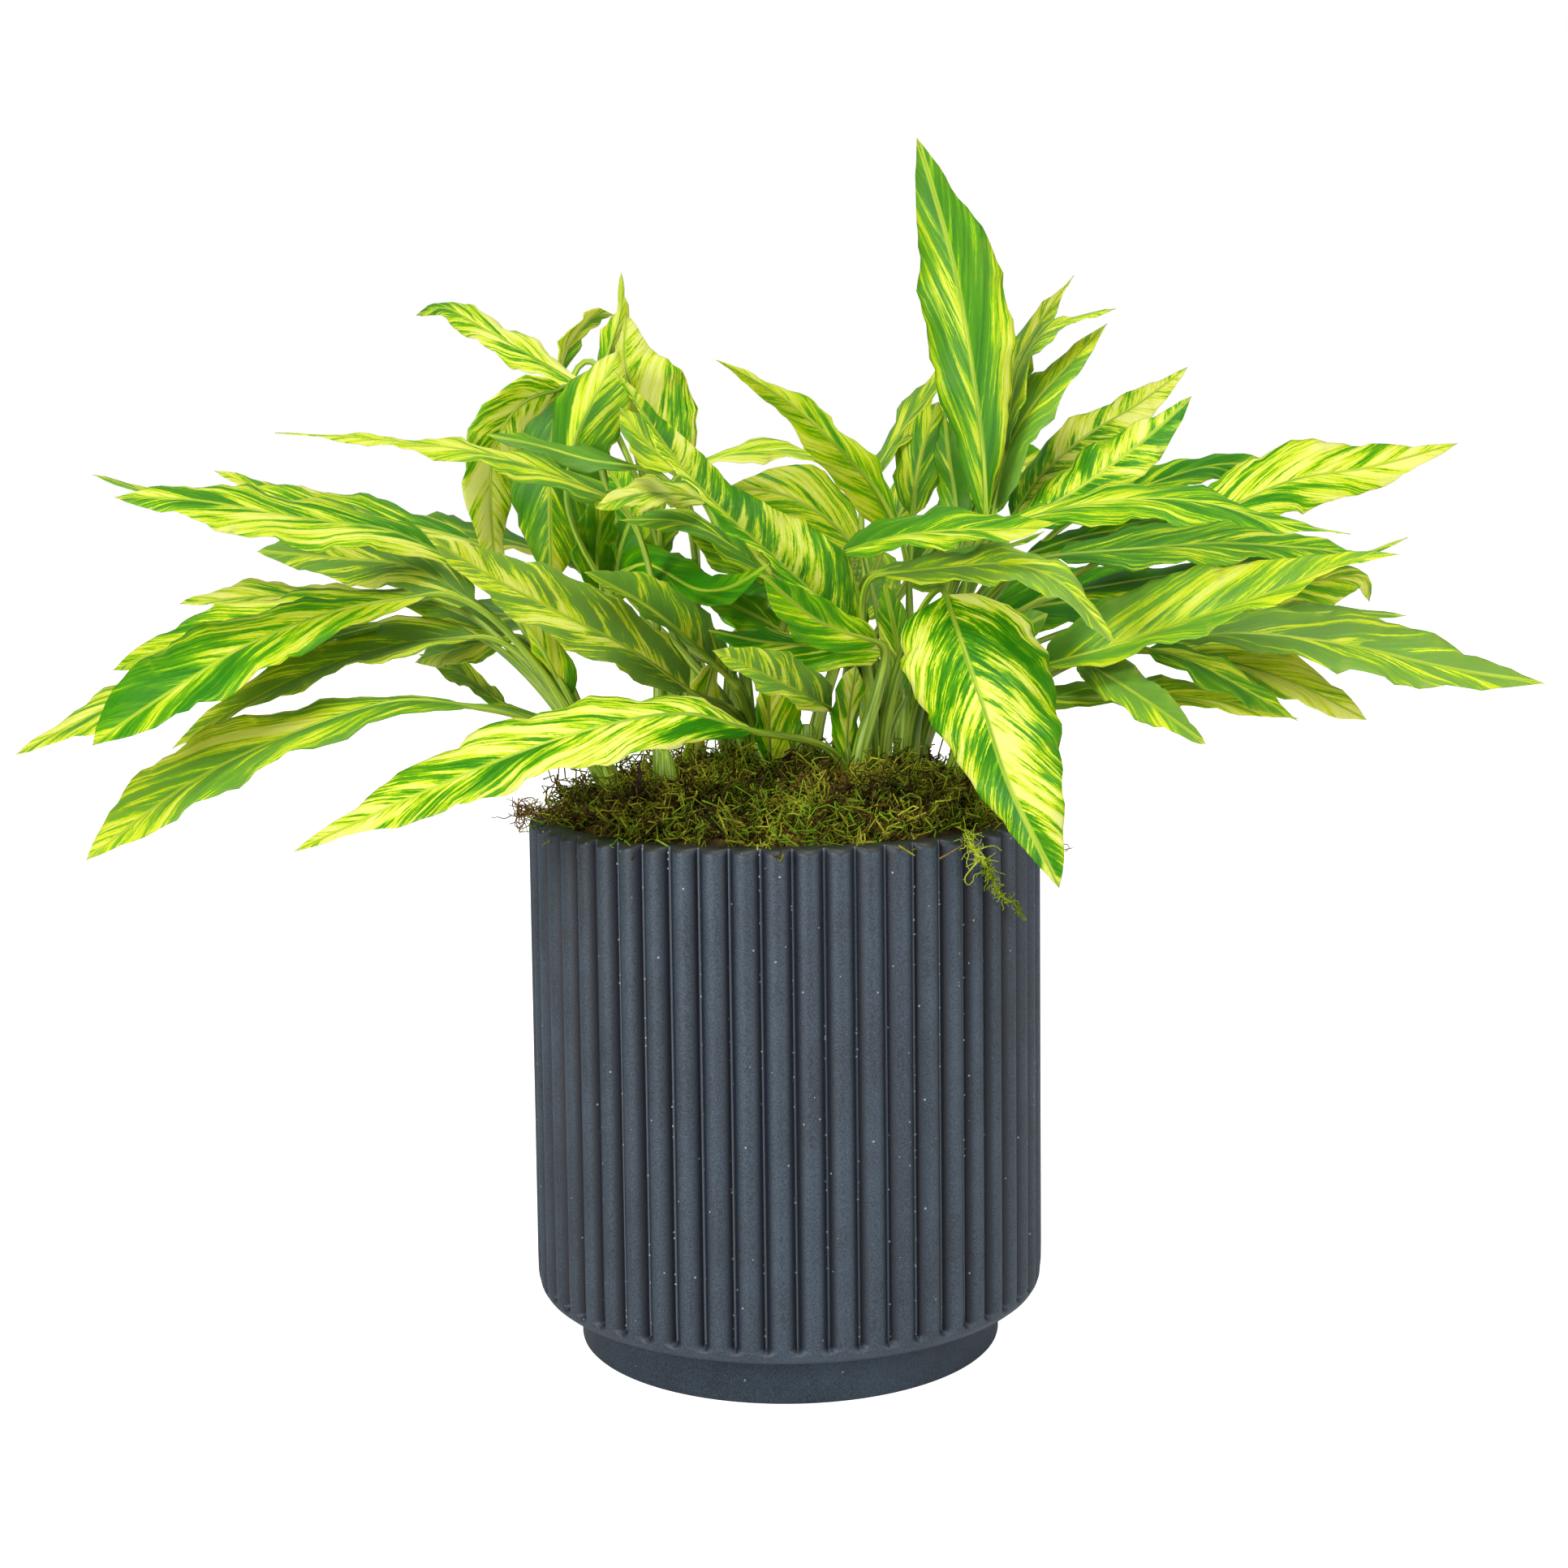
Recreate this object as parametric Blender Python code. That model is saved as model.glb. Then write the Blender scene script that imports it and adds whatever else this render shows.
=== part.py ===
# A potted foliage plant: a fluted round pot with a foot, filled with soil under a moss bed,
# and a dozen leafy shoots that stand in it, each with long pointed, waved and striped leaves.
# Metres, Z up, the pot's axis on Z and its foot on the floor at z = 0. The front looks along +Y.

import bmesh
import bpy
import numpy as np
from mathutils import Matrix, Vector

MM = 0.001
GAP = 0.35 * MM  # between a stem and its hole, and between the soil and the pot

# pot
POT_HEIGHT = 262.0 * MM
RIM_RADIUS = 125.5 * MM
FOOT_RADIUS = 105.0 * MM
FOOT_HEIGHT = 24.4 * MM
FOOT_EDGE = 1.5 * MM
# The body's smooth lower rounding as (height, radius) in mm, up to where the grooves end.
ROUNDING = ((24.6, 115.0), (26.0, 121.2), (28.4, 124.3), (31.0, 125.6))
BODY_RADIUS = 126.5 * MM  # where the grooves are full, just above the rounding
GROOVES_FULL = 34.5 * MM
INNER_RADIUS = 111.0 * MM
INNER_FLOOR = 30.0 * MM
INNER_ROUND = 3.0 * MM
RIBS = 54
FIRST_GROOVE = np.radians(1.5)  # round from the front towards +X
GROOVE_DEPTH = 3.0 * MM
RIB_END = 4.5 * MM  # the height of the ribs' rounded upper ends
# place across one rib, from groove to groove, and how far the wall stands out from the groove there
RIB_SECTION = ((0.0, 0.0), (0.16, 0.7), (0.5, 1.0), (0.84, 0.7))

# soil and moss
SOIL_TOP = 238.0 * MM
SOIL_SIDES = 36
MOSS_EDGE = 260.5 * MM
MOSS_RISE = 18.0 * MM
MOSS_LUMP = 2.2 * MM
MOSS_RINGS = 4
MOSS_SIDES = 27

# stems and leaves
STEM_FOOT = 205.0 * MM
STEM_SIDES = 8
STEM_FOOT_SHARE = 0.85  # the stem's radius down in the moss, as a share of its radius at the crown
STALK_FOOT_RADIUS = 2.6 * MM
STALK_RADIUS = 1.5 * MM
BLADE_MIDDLE = 0.8 * MM  # half the thickness at the midrib
BLADE_EDGE = 0.35 * MM  # half the thickness at the edge
TIP_HALF_WIDTH = 0.6 * MM
BLADE_STEP = 26.0 * MM  # between two rows of a blade
FEWEST_ROWS, MOST_ROWS = 5, 9
STALK_ROWS = 3
WAVE_DEPTH = 2.2 * MM
BASE_FULLNESS = 0.62
TIP_FULLNESS = 0.85

# The leaves are placed as they are seen from this point, straight in front of the pot. A place is
# given by how far across and up it shows on the plane through the pot's axis, and by its depth.
VIEWPOINT = np.array([0.0, -1084.6, 408.7]) * MM

# Foot of each shoot on the moss (across, depth), its crown, where the leaf stalks part, and the
# radius of its stem at the crown, all in mm.
SHOOTS = {
    "shoot_left": ((-77, 4), (-92, 2, 292), 6.5),
    "shoot_front_left": ((-55, -28), (-57, -26, 296), 6.5),
    "shoot_top_left": ((-42, 62), (-46, 60, 300), 5.0),
    "shoot_middle": ((-14, 42), (-16, 36, 300), 5.5),
    "shoot_barred": ((11, 56), (12, 52, 300), 8.0),
    "shoot_front": ((34, -12), (33, -16, 286), 5.5),
    "shoot_front_right": ((46, 16), (47, 12, 300), 6.5),
    "shoot_tall": ((62, 54), (64, 52, 302), 6.0),
    "shoot_right": ((80, 22), (88, 18, 292), 5.0),
    "shoot_right_high": ((66, 76), (74, 74, 300), 5.0),
    "shoot_back_left": ((-24, 88), (-30, 96, 300), 5.5),
    "shoot_back_right": ((28, 92), (32, 102, 302), 5.5),
}

# One row a leaf: its shoot, the midrib from the blade's base to its tip as (across, up, depth) in
# mm, then the left and right halves of the blade as seen when walking along the midrib. A half is
# a list of (width seen, depth) in mm from base to tip, and depth is how far its edge stands behind
# the midrib. Last come the place of the widest part along the blade and the number of edge waves.
LEAVES = {
    # low leaves that spread to the left
    "l09": ("shoot_left",
            [(-172, 371, -18), (-215, 364, -42), (-258, 349, -66), (-300, 325, -92), (-340, 299, -112)],
            [(17, -22), (16, -22), (13, -18)], [(8, 22), (16, 22), (34, 18)], 0.60, 4),
    "l10": ("shoot_left",
            [(-178, 358, 8), (-230, 352, -8), (-285, 336, -26), (-335, 316, -45), (-378, 295, -60)],
            [(10, -22)], [(8, 22)], 0.62, 4),
    "l08": ("shoot_left",
            [(-188, 372, 32), (-235, 364, 54), (-285, 352, 88), (-328, 336, 122)],
            [(12, -20)], [(9, 20), (11, 20), (13, 16)], 0.50, 3),
    "l07": ("shoot_left",
            [(-170, 374, 44), (-215, 371, 78), (-255, 371, 116), (-294, 368, 150)],
            [(6, -24), (5, -24)], [(3, 25), (10, 25)], 0.60, 3),
    "l06": ("shoot_left",
            [(-150, 366, 10), (-178, 384, 26), (-215, 389, 52), (-255, 393, 84)],
            [(13, -18)], [(16, 20), (16, 20), (22, 18)], 0.40, 3),
    "l03": ("shoot_left",
            [(-158, 386, -5), (-190, 402, -25), (-235, 409, -50), (-285, 418, -78), (-323, 420, -100)],
            [(12, -24), (14, -24), (13, -18)], [(8, 24), (12, 22)], 0.50, 4),
    "l02": ("shoot_left",
            [(-163, 392, 18), (-205, 408, 8), (-260, 417, -8), (-305, 422, -24), (-333, 431, -34)],
            [(5, -20)], [(5, 20)], 0.45, 3),
    "l04": ("shoot_left",
            [(-150, 396, 45), (-185, 406, 70), (-230, 415, 100), (-277, 423, 134)],
            [(10, -22)], [(9, 22)], 0.48, 3),
    "l14": ("shoot_left",
            [(-150, 396, 75), (-195, 405, 110), (-235, 417, 145), (-274, 432, 182)],
            [(6, -20)], [(7, 20)], 0.52, 3),
    "l11": ("shoot_left",
            [(-150, 350, 2), (-190, 346, -12), (-235, 332, -28), (-270, 315, -42), (-301, 297, -54)],
            [(5, -22)], [(15, 22), (14, 20), (14, 12)], 0.40, 3),
    "l12": ("shoot_left",
            [(-152, 316, -30), (-190, 319, -45), (-235, 306, -62), (-290, 281, -85), (-346, 242, -110)],
            [(12, -22), (14, -22), (10, -22), (13, -18), (11, -8)],
            [(4, 22), (8, 22), (17, 22), (22, 20), (26, 12)], 0.58, 4),
    "l15": ("shoot_left",
            [(-132, 350, 14), (-148, 347, 30), (-164, 343, 50), (-180, 338, 80)],
            [(8, -16)], [(6, 16)], 0.45, 2),
    "l16": ("shoot_left",
            [(-136, 316, 30), (-148, 325, 52), (-161, 334, 76), (-178, 342, 104)],
            [(5, -10)], [(6, 10)], 0.50, 2),
    "l17": ("shoot_left",
            [(-128, 348, 24), (-150, 358, 40), (-170, 366, 60), (-192, 370, 86)],
            [(8, -16)], [(7, 16)], 0.50, 3),
    "l18": ("shoot_left",
            [(-107, 318, 4), (-113, 334, 0), (-121, 350, -6), (-132, 366, -12)],
            [(4, 4)], [(11, 6)], 0.40, 2),
    # long leaves over the front left of the rim
    "f13": ("shoot_front",
            [(-14, 302, -62), (-52, 311, -96), (-105, 301, -122), (-165, 279, -140), (-243, 245, -150)],
            [(16, -20), (20, -20), (15, -20), (17, -18), (8, -8)],
            [(9, 20), (12, 22), (17, 22), (19, 20), (15, 12)], 0.46, 5),
    "f14": ("shoot_front",
            [(24, 312, -18), (8, 321, -42), (-12, 331, -75), (-34, 342, -112)],
            [(7, -18)], [(15, 12)], 0.42, 3),
    "f16": ("shoot_front",
            [(33, 276, -14), (31, 290, -16), (32, 308, -20), (36, 334, -26)],
            [(9, -4)], [(6, 8)], 0.66, 2),
    "f15": ("shoot_front_right",
            [(50, 340, 2), (20, 343, -8), (-10, 346, -20), (-36, 352, -30)],
            [(12, -14)], [(7, 15)], 0.45, 3),
    "f17": ("shoot_front",
            [(47, 345, -24), (25, 352, -46), (10, 361, -68), (-9, 378, -100)],
            [(13, -12)], [(11, 6)], 0.45, 3),
    # leaves of the middle left
    "c10": ("shoot_middle",
            [(-46, 322, -10), (-75, 343, -35), (-105, 359, -64), (-140, 378, -98), (-172, 399, -135)],
            [(13, -20)], [(20, 16)], 0.42, 4),
    "c11": ("shoot_middle",
            [(-24, 326, 4), (-42, 344, -22), (-66, 364, -60), (-96, 381, -112)],
            [(3, 20)], [(16, 12)], 0.45, 3),
    "c12": ("shoot_middle",
            [(-77, 381, 30), (-64, 384, 14), (-42, 372, -12), (-24, 373, -32), (-6, 384, -50)],
            [(14, 12), (11, 14), (8, 8)], [(9, -10), (9, -12), (8, -8)], 0.42, 3),
    "c13": ("shoot_middle",
            [(4, 348, 30), (-10, 357, 24), (-24, 364, 16), (-40, 373, 8)],
            [(9, -6)], [(9, 8)], 0.50, 3),
    "c14": ("shoot_middle",
            [(-4, 376, 22), (-16, 385, 18), (-30, 395, 13), (-46, 405, 6)],
            [(12, -6)], [(8, 8)], 0.50, 2),
    "c15": ("shoot_middle",
            [(-7, 284, 22), (-7, 298, 19), (-7, 312, 16), (-6, 327, 12)],
            [(7, -4)], [(17, 4)], 0.56, 2),
    "c16": ("shoot_middle",
            [(-34, 337, 20), (-38, 322, 20), (-42, 304, 20), (-49, 281, 18)],
            [(6, 6)], [(7, -6)], 0.40, 3),
    "c02": ("shoot_top_left",
            [(-42, 431, 36), (-22, 437, 32), (0, 438, 28), (20, 435, 24), (38, 438, 20)],
            [(5, 22)], [(4, -22)], 0.48, 2),
    "c01": ("shoot_middle",
            [(-36, 414, 20), (-50, 418, -18), (-70, 418, -62), (-90, 412, -110)],
            [(7, -20)], [(8, 22)], 0.50, 3),
    "n01": ("shoot_front_left",
            [(-84, 417, -12), (-110, 428, -34), (-145, 439, -64), (-195, 446, -96), (-244, 450, -122)],
            [(8, -18), (6, -14), (3, -6)], [(8, 20), (4, 14), (2, 6)], 0.30, 4),
    "n02": ("shoot_top_left",
            [(-68, 431, 12), (-92, 435, 8), (-116, 442, 4), (-142, 448, 0)],
            [(5, -6)], [(5, 18)], 0.46, 2),
    # upright and hanging leaves of the top left
    "t01": ("shoot_top_left",
            [(-96, 470, 62), (-118, 484, 92), (-145, 500, 130), (-160, 508, 158), (-174, 505, 186)],
            [(8, -16)], [(7, 18)], 0.42, 3),
    "t02": ("shoot_top_left",
            [(-106, 474, 98), (-103, 486, 106), (-95, 498, 122), (-88, 504, 134), (-79, 504, 146)],
            [(4, -10)], [(5, 10)], 0.50, 2),
    "t03": ("shoot_top_left",
            [(-86, 476, 76), (-80, 492, 80), (-75.5, 508, 86), (-75, 524, 92)],
            [(7, 8), (1.5, 5)], [(4, 8)], 0.40, 2),
    "t05": ("shoot_top_left",
            [(-49, 425, 68), (-63, 452, 63), (-74, 480, 62), (-73, 505, 66)],
            [(5, 10)], [(25, 14), (26, 14), (25, 12), (18, 8)], 0.48, 3),
    "t07": ("shoot_top_left",
            [(-103, 428, 24), (-98, 448, 26), (-89, 466, 32), (-77, 487, 40)],
            [(15, 16)], [(20, 12)], 0.46, 2),
    "t08": ("shoot_top_left",
            [(-104, 470, 48), (-124, 463, 34), (-137, 445, 22), (-141, 420, 16), (-139, 374, 14)],
            [(11, 12)], [(14, -14)], 0.45, 4),
    "t09": ("shoot_top_left",
            [(-100, 474, 78), (-109, 452, 74), (-112, 420, 72), (-112, 376, 72)],
            [(29, 14)], [(21, 10)], 0.45, 3),
    "t10": ("shoot_top_left",
            [(-88, 370, 44), (-90, 388, 40), (-88, 404, 36), (-83, 421, 32)],
            [(12, -10)], [(9, 10)], 0.50, 4),
    "t11": ("shoot_top_left",
            [(-80, 366, 52), (-80, 382, 50), (-77, 396, 48), (-71, 410, 46)],
            [(9, 10)], [(13, -8)], 0.50, 2),
    "t13": ("shoot_top_left",
            [(-68, 378, 58), (-63, 386, 52), (-57, 394, 48), (-49, 402, 44)],
            [(9, -4)], [(4, 6)], 0.50, 2),
    "t12": ("shoot_middle",
            [(-50, 430, 14), (-62, 440, 10), (-70, 450, 8), (-77, 460, 6)],
            [(9, -6)], [(9, 8)], 0.45, 2),
    "l05": ("shoot_top_left",
            [(-112, 390, 96), (-145, 400, 130), (-170, 405, 168), (-196, 412, 205)],
            [(6, -24)], [(6, 24)], 0.45, 3),
    # barred leaves of the centre
    "c03": ("shoot_front_right",
            [(40, 346, 2), (22, 363, -8), (-2, 385, -20), (-28, 409, -34), (-52, 436, -48),
             (-79, 477, -58)],
            [(4, -22)], [(20, 4), (27, 6), (16, 8), (17, 10), (16, 10)], 0.38, 4),
    "c04": ("shoot_middle",
            [(6, 370, 34), (-20, 390, 18), (-46, 404, 0), (-78, 406, -24)],
            [(6, -18)], [(7, 18)], 0.45, 2),
    "c05": ("shoot_barred",
            [(36, 392, 70), (20, 407, 64), (2, 417, 60), (-24, 422, 58)],
            [(16, -8), (15, -8), (11, -6)], [(19, 10), (18, 10), (12, 8)], 0.50, 2),
    "c06": ("shoot_tall",
            [(56, 402, 40), (45, 421, 20), (28, 440, -8), (8, 459, -38), (-12, 472, -66),
             (-30, 482, -90)],
            [(17, 6), (11, 10), (6, 12)], [(8, 20), (8, 16), (5, 12)], 0.36, 3),
    # leaves over the front right
    "r01": ("shoot_front_right",
            [(80, 368, -42), (88, 344, -74), (98, 314, -100), (112, 272, -124), (136, 222, -140)],
            [(33, 10), (39, 10), (37, 9), (39, 8), (41, 6)],
            [(43, 10), (34, 10), (25, 8), (19, 6), (16, 4)], 0.40, 5),
    "r02": ("shoot_front_right",
            [(28, 388, -2), (55, 396, -30), (85, 399, -60), (112, 399, -86), (134, 402, -108)],
            [(11, 20)], [(7, -18)], 0.46, 3),
    "r03": ("shoot_front_right",
            [(46, 379, 6), (75, 385, -12), (105, 389, -30), (128, 398, -46)],
            [(3, 16)], [(4, -16)], 0.48, 2),
    "r04": ("shoot_front_right",
            [(48, 378, -22), (80, 381, -52), (112, 382, -82), (137, 372, -106), (163, 343, -132)],
            [(9, 15)], [(9, -15)], 0.50, 4),
    "r05": ("shoot_front_right",
            [(58, 320, 8), (57, 338, 3), (54, 356, -5), (50, 374, -14)],
            [(8, 3)], [(9, 3)], 0.50, 2),
    # upright leaves of the right
    "u01": ("shoot_tall",
            [(100, 402, 22), (98, 440, 20), (91, 490, 22), (84, 527, 27), (74, 563, 34), (67, 585, 40)],
            [(19, 10), (20, 10), (14, 7)], [(7, 14), (21, 9), (22, 9), (12, 6)], 0.55, 4),
    "u02": ("shoot_tall",
            [(44, 424, 62), (56, 443, 70), (68, 460, 80), (84, 484, 94)],
            [(6, 14)], [(6, -14)], 0.50, 2),
    "u03": ("shoot_tall",
            [(64, 406, 52), (66, 424, 54), (70, 442, 58), (77, 461, 64)],
            [(13, 8)], [(13, 8)], 0.52, 3),
    "u04": ("shoot_tall",
            [(104, 440, 64), (112, 474, 72), (126, 498, 84), (142, 520, 98)],
            [(9, 12), (8, 12), (3, 6)], [(9, -12), (7, -12), (3, -6)], 0.46, 3),
    "u05": ("shoot_tall",
            [(108, 436, 44), (116, 476, 50), (129, 494, 58), (145, 500, 66), (162, 504, 74)],
            [(3, 14)], [(6, -10), (3, -8)], 0.46, 3),
    "u06": ("shoot_tall",
            [(104, 408, 40), (110, 436, 44), (123, 459, 52), (140, 478, 66), (158, 497, 82)],
            [(11, 14), (10, 14), (7, 8)], [(11, -14), (10, -14), (7, -8)], 0.45, 3),
    "u09": ("shoot_tall",
            [(86, 398, 46), (85, 416, 50), (82, 435, 56), (80, 454, 62)],
            [(9, 6)], [(8, -6)], 0.50, 2),
    "u07": ("shoot_right_high",
            [(112, 404, 78), (128, 426, 88), (149, 444, 102), (174, 459, 122), (197, 476, 146)],
            [(12, 18), (10, 14), (7, 8)], [(12, -14)], 0.45, 3),
    "u08": ("shoot_right_high",
            [(114, 402, 44), (136, 413, 46), (160, 429, 50), (182, 446, 58), (199, 462, 68)],
            [(14, 16), (13, 14), (8, 8)], [(15, -12), (15, -12), (12, -8)], 0.48, 4),
    # spreading leaves of the right
    "s01": ("shoot_right_high",
            [(188, 398, 50), (215, 407, 70), (248, 421, 95), (286, 427, 120), (328, 438, 146)],
            [(17, 17), (18, 17), (9, 10)], [(14, -17), (15, -17), (13, -12)], 0.45, 4),
    "s02": ("shoot_right_high",
            [(150, 408, 72), (185, 422, 102), (212, 429, 132), (240, 429, 165)],
            [(7, 18)], [(8, -18)], 0.48, 2),
    "s03": ("shoot_right",
            [(106, 400, 6), (135, 408, -10), (170, 413, -28), (205, 411, -45), (242, 401, -60),
             (277, 395, -74)],
            [(7, 22), (7, 20), (2, 8)], [(9, -22), (11, -22), (3, -8)], 0.46, 4),
    "s04": ("shoot_right_high",
            [(134, 386, 22), (175, 389, 28), (215, 391, 34), (258, 388, 40), (282, 385, 44),
             (305, 393, 48)],
            [(12, 22), (11, 20), (2, 6)], [(10, -20), (9, -18), (2, -6)], 0.42, 4),
    "s05": ("shoot_right_high",
            [(138, 368, 44), (190, 376, 60), (242, 383, 80), (292, 384, 98)],
            [(6, 20)], [(9, -20), (7, -18), (4, -8)], 0.45, 3),
    "s06": ("shoot_right_high",
            [(188, 361, 84), (222, 367, 100), (256, 372, 118), (283, 374, 134), (287, 362, 144)],
            [(7, 18)], [(14, -16)], 0.55, 3),
    "s14": ("shoot_right_high",
            [(118, 386, 52), (150, 396, 64), (185, 399, 80), (216, 396, 98)],
            [(7, 16)], [(9, -16)], 0.50, 3),
    "s07": ("shoot_right",
            [(127, 332, -28), (160, 341, -44), (200, 354, -60), (240, 367, -76), (275, 381, -88),
             (301, 385, -96)],
            [(26, 12), (24, 12), (10, 8)], [(8, -22), (7, -20), (2, -8)], 0.42, 4),
    "s08": ("shoot_right",
            [(180, 344, -4), (225, 347, -12), (275, 341, -20), (325, 329, -28), (374, 321, -36)],
            [(12, 20), (15, 20), (17, 16), (9, 10)],
            [(6, -20), (10, -20), (13, -18), (12, -10)], 0.52, 5),
    "s09": ("shoot_right",
            [(186, 346, 24), (225, 352, 30), (265, 357, 36), (305, 355, 42)],
            [(5, 18)], [(5, -14)], 0.45, 2),
    "s10": ("shoot_right",
            [(180, 339, 6), (215, 334, 0), (250, 323, -8), (287, 304, -16)],
            [(13, 18)], [(9, -18), (9, -18), (13, -12)], 0.50, 3),
    "s11": ("shoot_right",
            [(178, 340, -22), (200, 334, -34), (228, 319, -48), (253, 304, -62)],
            [(8, 14), (8, 14), (5, 8)], [(8, -14), (8, -14), (5, -8)], 0.48, 3),
    "s12": ("shoot_right",
            [(144, 335, -8), (158, 328, -44), (182, 312, -92), (208, 293, -140)],
            [(11, 12)], [(10, -12)], 0.42, 3),
    "s13": ("shoot_right",
            [(110, 316, 6), (150, 317, -2), (190, 317, -8), (225, 312, -14), (253, 305, -20)],
            [(8, 16)], [(6, -16)], 0.50, 3),
    "s15": ("shoot_right",
            [(98, 330, 24), (106, 340, 26), (116, 350, 32), (130, 358, 40)],
            [(10, 8)], [(9, -8)], 0.50, 2),
    # leaves on the far side
    "b01": ("shoot_back_left",
            [(-70, 372, 120), (-88, 392, 165), (-108, 402, 215), (-122, 398, 262)],
            [(16, 6)], [(16, -6)], 0.45, 3),
    "b02": ("shoot_back_left",
            [(-66, 384, 128), (-74, 412, 168), (-82, 428, 214), (-92, 430, 256)],
            [(13, 4)], [(12, -4)], 0.45, 3),
    "b03": ("shoot_back_left",
            [(-22, 352, 132), (-18, 360, 178), (-12, 362, 226), (-8, 354, 270)],
            [(16, 3)], [(16, -3)], 0.45, 3),
    "b04": ("shoot_back_left",
            [(-96, 352, 100), (-126, 360, 140), (-152, 362, 180), (-172, 354, 216)],
            [(8, 18)], [(8, -18)], 0.45, 3),
    "b05": ("shoot_back_right",
            [(36, 356, 136), (38, 370, 182), (36, 374, 232), (32, 368, 280)],
            [(22, 2)], [(22, -2)], 0.45, 3),
    "b06": ("shoot_back_right",
            [(62, 372, 132), (80, 388, 178), (98, 394, 226), (112, 388, 272)],
            [(17, 5)], [(17, -5)], 0.45, 3),
    "b07": ("shoot_back_right",
            [(74, 392, 116), (96, 418, 150), (116, 430, 190), (134, 428, 230)],
            [(14, 8)], [(14, -8)], 0.45, 3),
    "b08": ("shoot_back_right",
            [(84, 354, 104), (128, 362, 150), (168, 366, 196), (204, 362, 238)],
            [(18, 18)], [(12, -18)], 0.40, 3),
    "b09": ("shoot_back_right",
            [(52, 396, 112), (66, 424, 132), (74, 446, 156), (80, 462, 182)],
            [(10, 6)], [(10, 6)], 0.45, 3),
}


def seen(places):
    """The points that show at (across, up) on the plane y = 0 and lie at this depth, in metres."""
    places = np.asarray(places, float) * MM
    on_plane = np.stack([places[..., 0], 0 * places[..., 0], places[..., 1]], -1)
    reach = (places[..., 2] - VIEWPOINT[1]) / -VIEWPOINT[1]
    return VIEWPOINT + (on_plane - VIEWPOINT) * reach[..., None]


def unit(vectors):
    return vectors / np.linalg.norm(vectors, axis=-1, keepdims=True)


def smooth_line(points, count):
    """Count places spread evenly by length along a smooth line through the given points."""
    points = np.asarray(points, float)
    ends = np.vstack([2 * points[0] - points[1], points, 2 * points[-1] - points[-2]])
    fine = []
    for a, b, c, d in zip(ends, ends[1:], ends[2:], ends[3:]):
        for t in np.linspace(0, 1, 24, endpoint=False):
            fine.append(0.5 * (2 * b + (c - a) * t + (2 * a - 5 * b + 4 * c - d) * t**2
                               + (3 * b - a - 3 * c + d) * t**3))
    fine = np.array(fine + [points[-1]])
    run = np.append(0, np.cumsum(np.linalg.norm(np.diff(fine, axis=0), axis=1)))
    even = np.linspace(0, run[-1], count)
    return np.stack([np.interp(even, run, column) for column in fine.T], -1)


def blade_width(s, widest):
    """0 to 1 along the blade: quickly full after the stalk, then drawn out slowly to the tip."""
    fullness = np.where(s < widest, BASE_FULLNESS, TIP_FULLNESS)
    return np.clip(np.sin(np.pi * s ** (np.log(0.5) / np.log(widest))), 0, 1) ** fullness


def blade_half(line, pairs, side, s, widest):
    """Edge points of one half of a blade, before its waves. The side is 1 on the left, -1 on the right."""
    pairs = np.asarray(pairs, float)
    stations = np.linspace(0, 1, len(pairs)) if len(pairs) > 1 else np.array([0.0])
    width = np.interp(s, stations, pairs[:, 0])
    depth = np.interp(s, stations, pairs[:, 1])
    along = unit(np.gradient(line[:, :2], axis=0))
    outward = side * np.stack([-along[:, 1], along[:, 0]], -1)
    share = blade_width(s, widest)
    places = line.copy()
    places[:, :2] += outward * (share * width)[:, None]
    places[:, 2] += share * depth
    return seen(places)


def blade_lines(name, rows):
    """Midrib, left edge and right edge of a leaf's blade as rows of points, edge waves included."""
    _, route, left, right, widest, waves = LEAVES[name]
    s = np.linspace(0, 1, rows)
    line = smooth_line(route, rows)
    midrib = seen(line)
    along = unit(np.gradient(midrib, axis=0))
    edges = []
    number = sorted(LEAVES).index(name)
    for side, pairs in ((1, left), (-1, right)):
        edge = blade_half(line, pairs, side, s, widest)
        half = edge - midrib
        face = np.cross(half * side, along)
        face /= np.maximum(np.linalg.norm(face, axis=1, keepdims=True), 1e-9)
        swing = np.sin(2 * np.pi * (waves * s + 0.37 * number + 0.19 * side))
        edge = edge + face * (WAVE_DEPTH * blade_width(s, widest) * swing)[:, None]
        edges.append(edge)
    return midrib, edges[0], edges[1]


def stem_line(shoot):
    """Points up a shoot's stem, from its foot in the soil to its crown."""
    (across, depth), crown, _ = SHOOTS[shoot]
    foot = np.array([across, depth, 0]) * MM
    crown = np.array(crown) * MM
    low = foot + (0, 0, STEM_FOOT)
    moss = foot + (0, 0, MOSS_EDGE)
    return np.array([low, moss, moss * 0.5 + crown * 0.5, crown])


def stalk_line(shoot, midrib):
    """A leaf stalk's points, from inside the stem up to the start of the blade."""
    stem = stem_line(shoot)
    start = stem[1] * 0.5 + stem[3] * 0.5
    base = midrib[0]
    reach = np.linalg.norm(base - stem[3])
    lift = stem[3] + unit(stem[3] - stem[1]) * 0.25 * reach
    ease = base - unit(midrib[1] - midrib[0]) * 0.3 * reach
    t = np.linspace(0, 1, STALK_ROWS + 1)[:-1, None]
    return start * (1 - t)**3 + 3 * lift * t * (1 - t)**2 + 3 * ease * t**2 * (1 - t) + base * t**3


def blade_rows(name):
    """A longer blade has more rows."""
    line = seen(smooth_line(LEAVES[name][1], MOST_ROWS))
    length = np.linalg.norm(np.diff(line, axis=0), axis=1).sum()
    return int(np.clip(round(length / BLADE_STEP) + 1, FEWEST_ROWS, MOST_ROWS))


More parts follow.
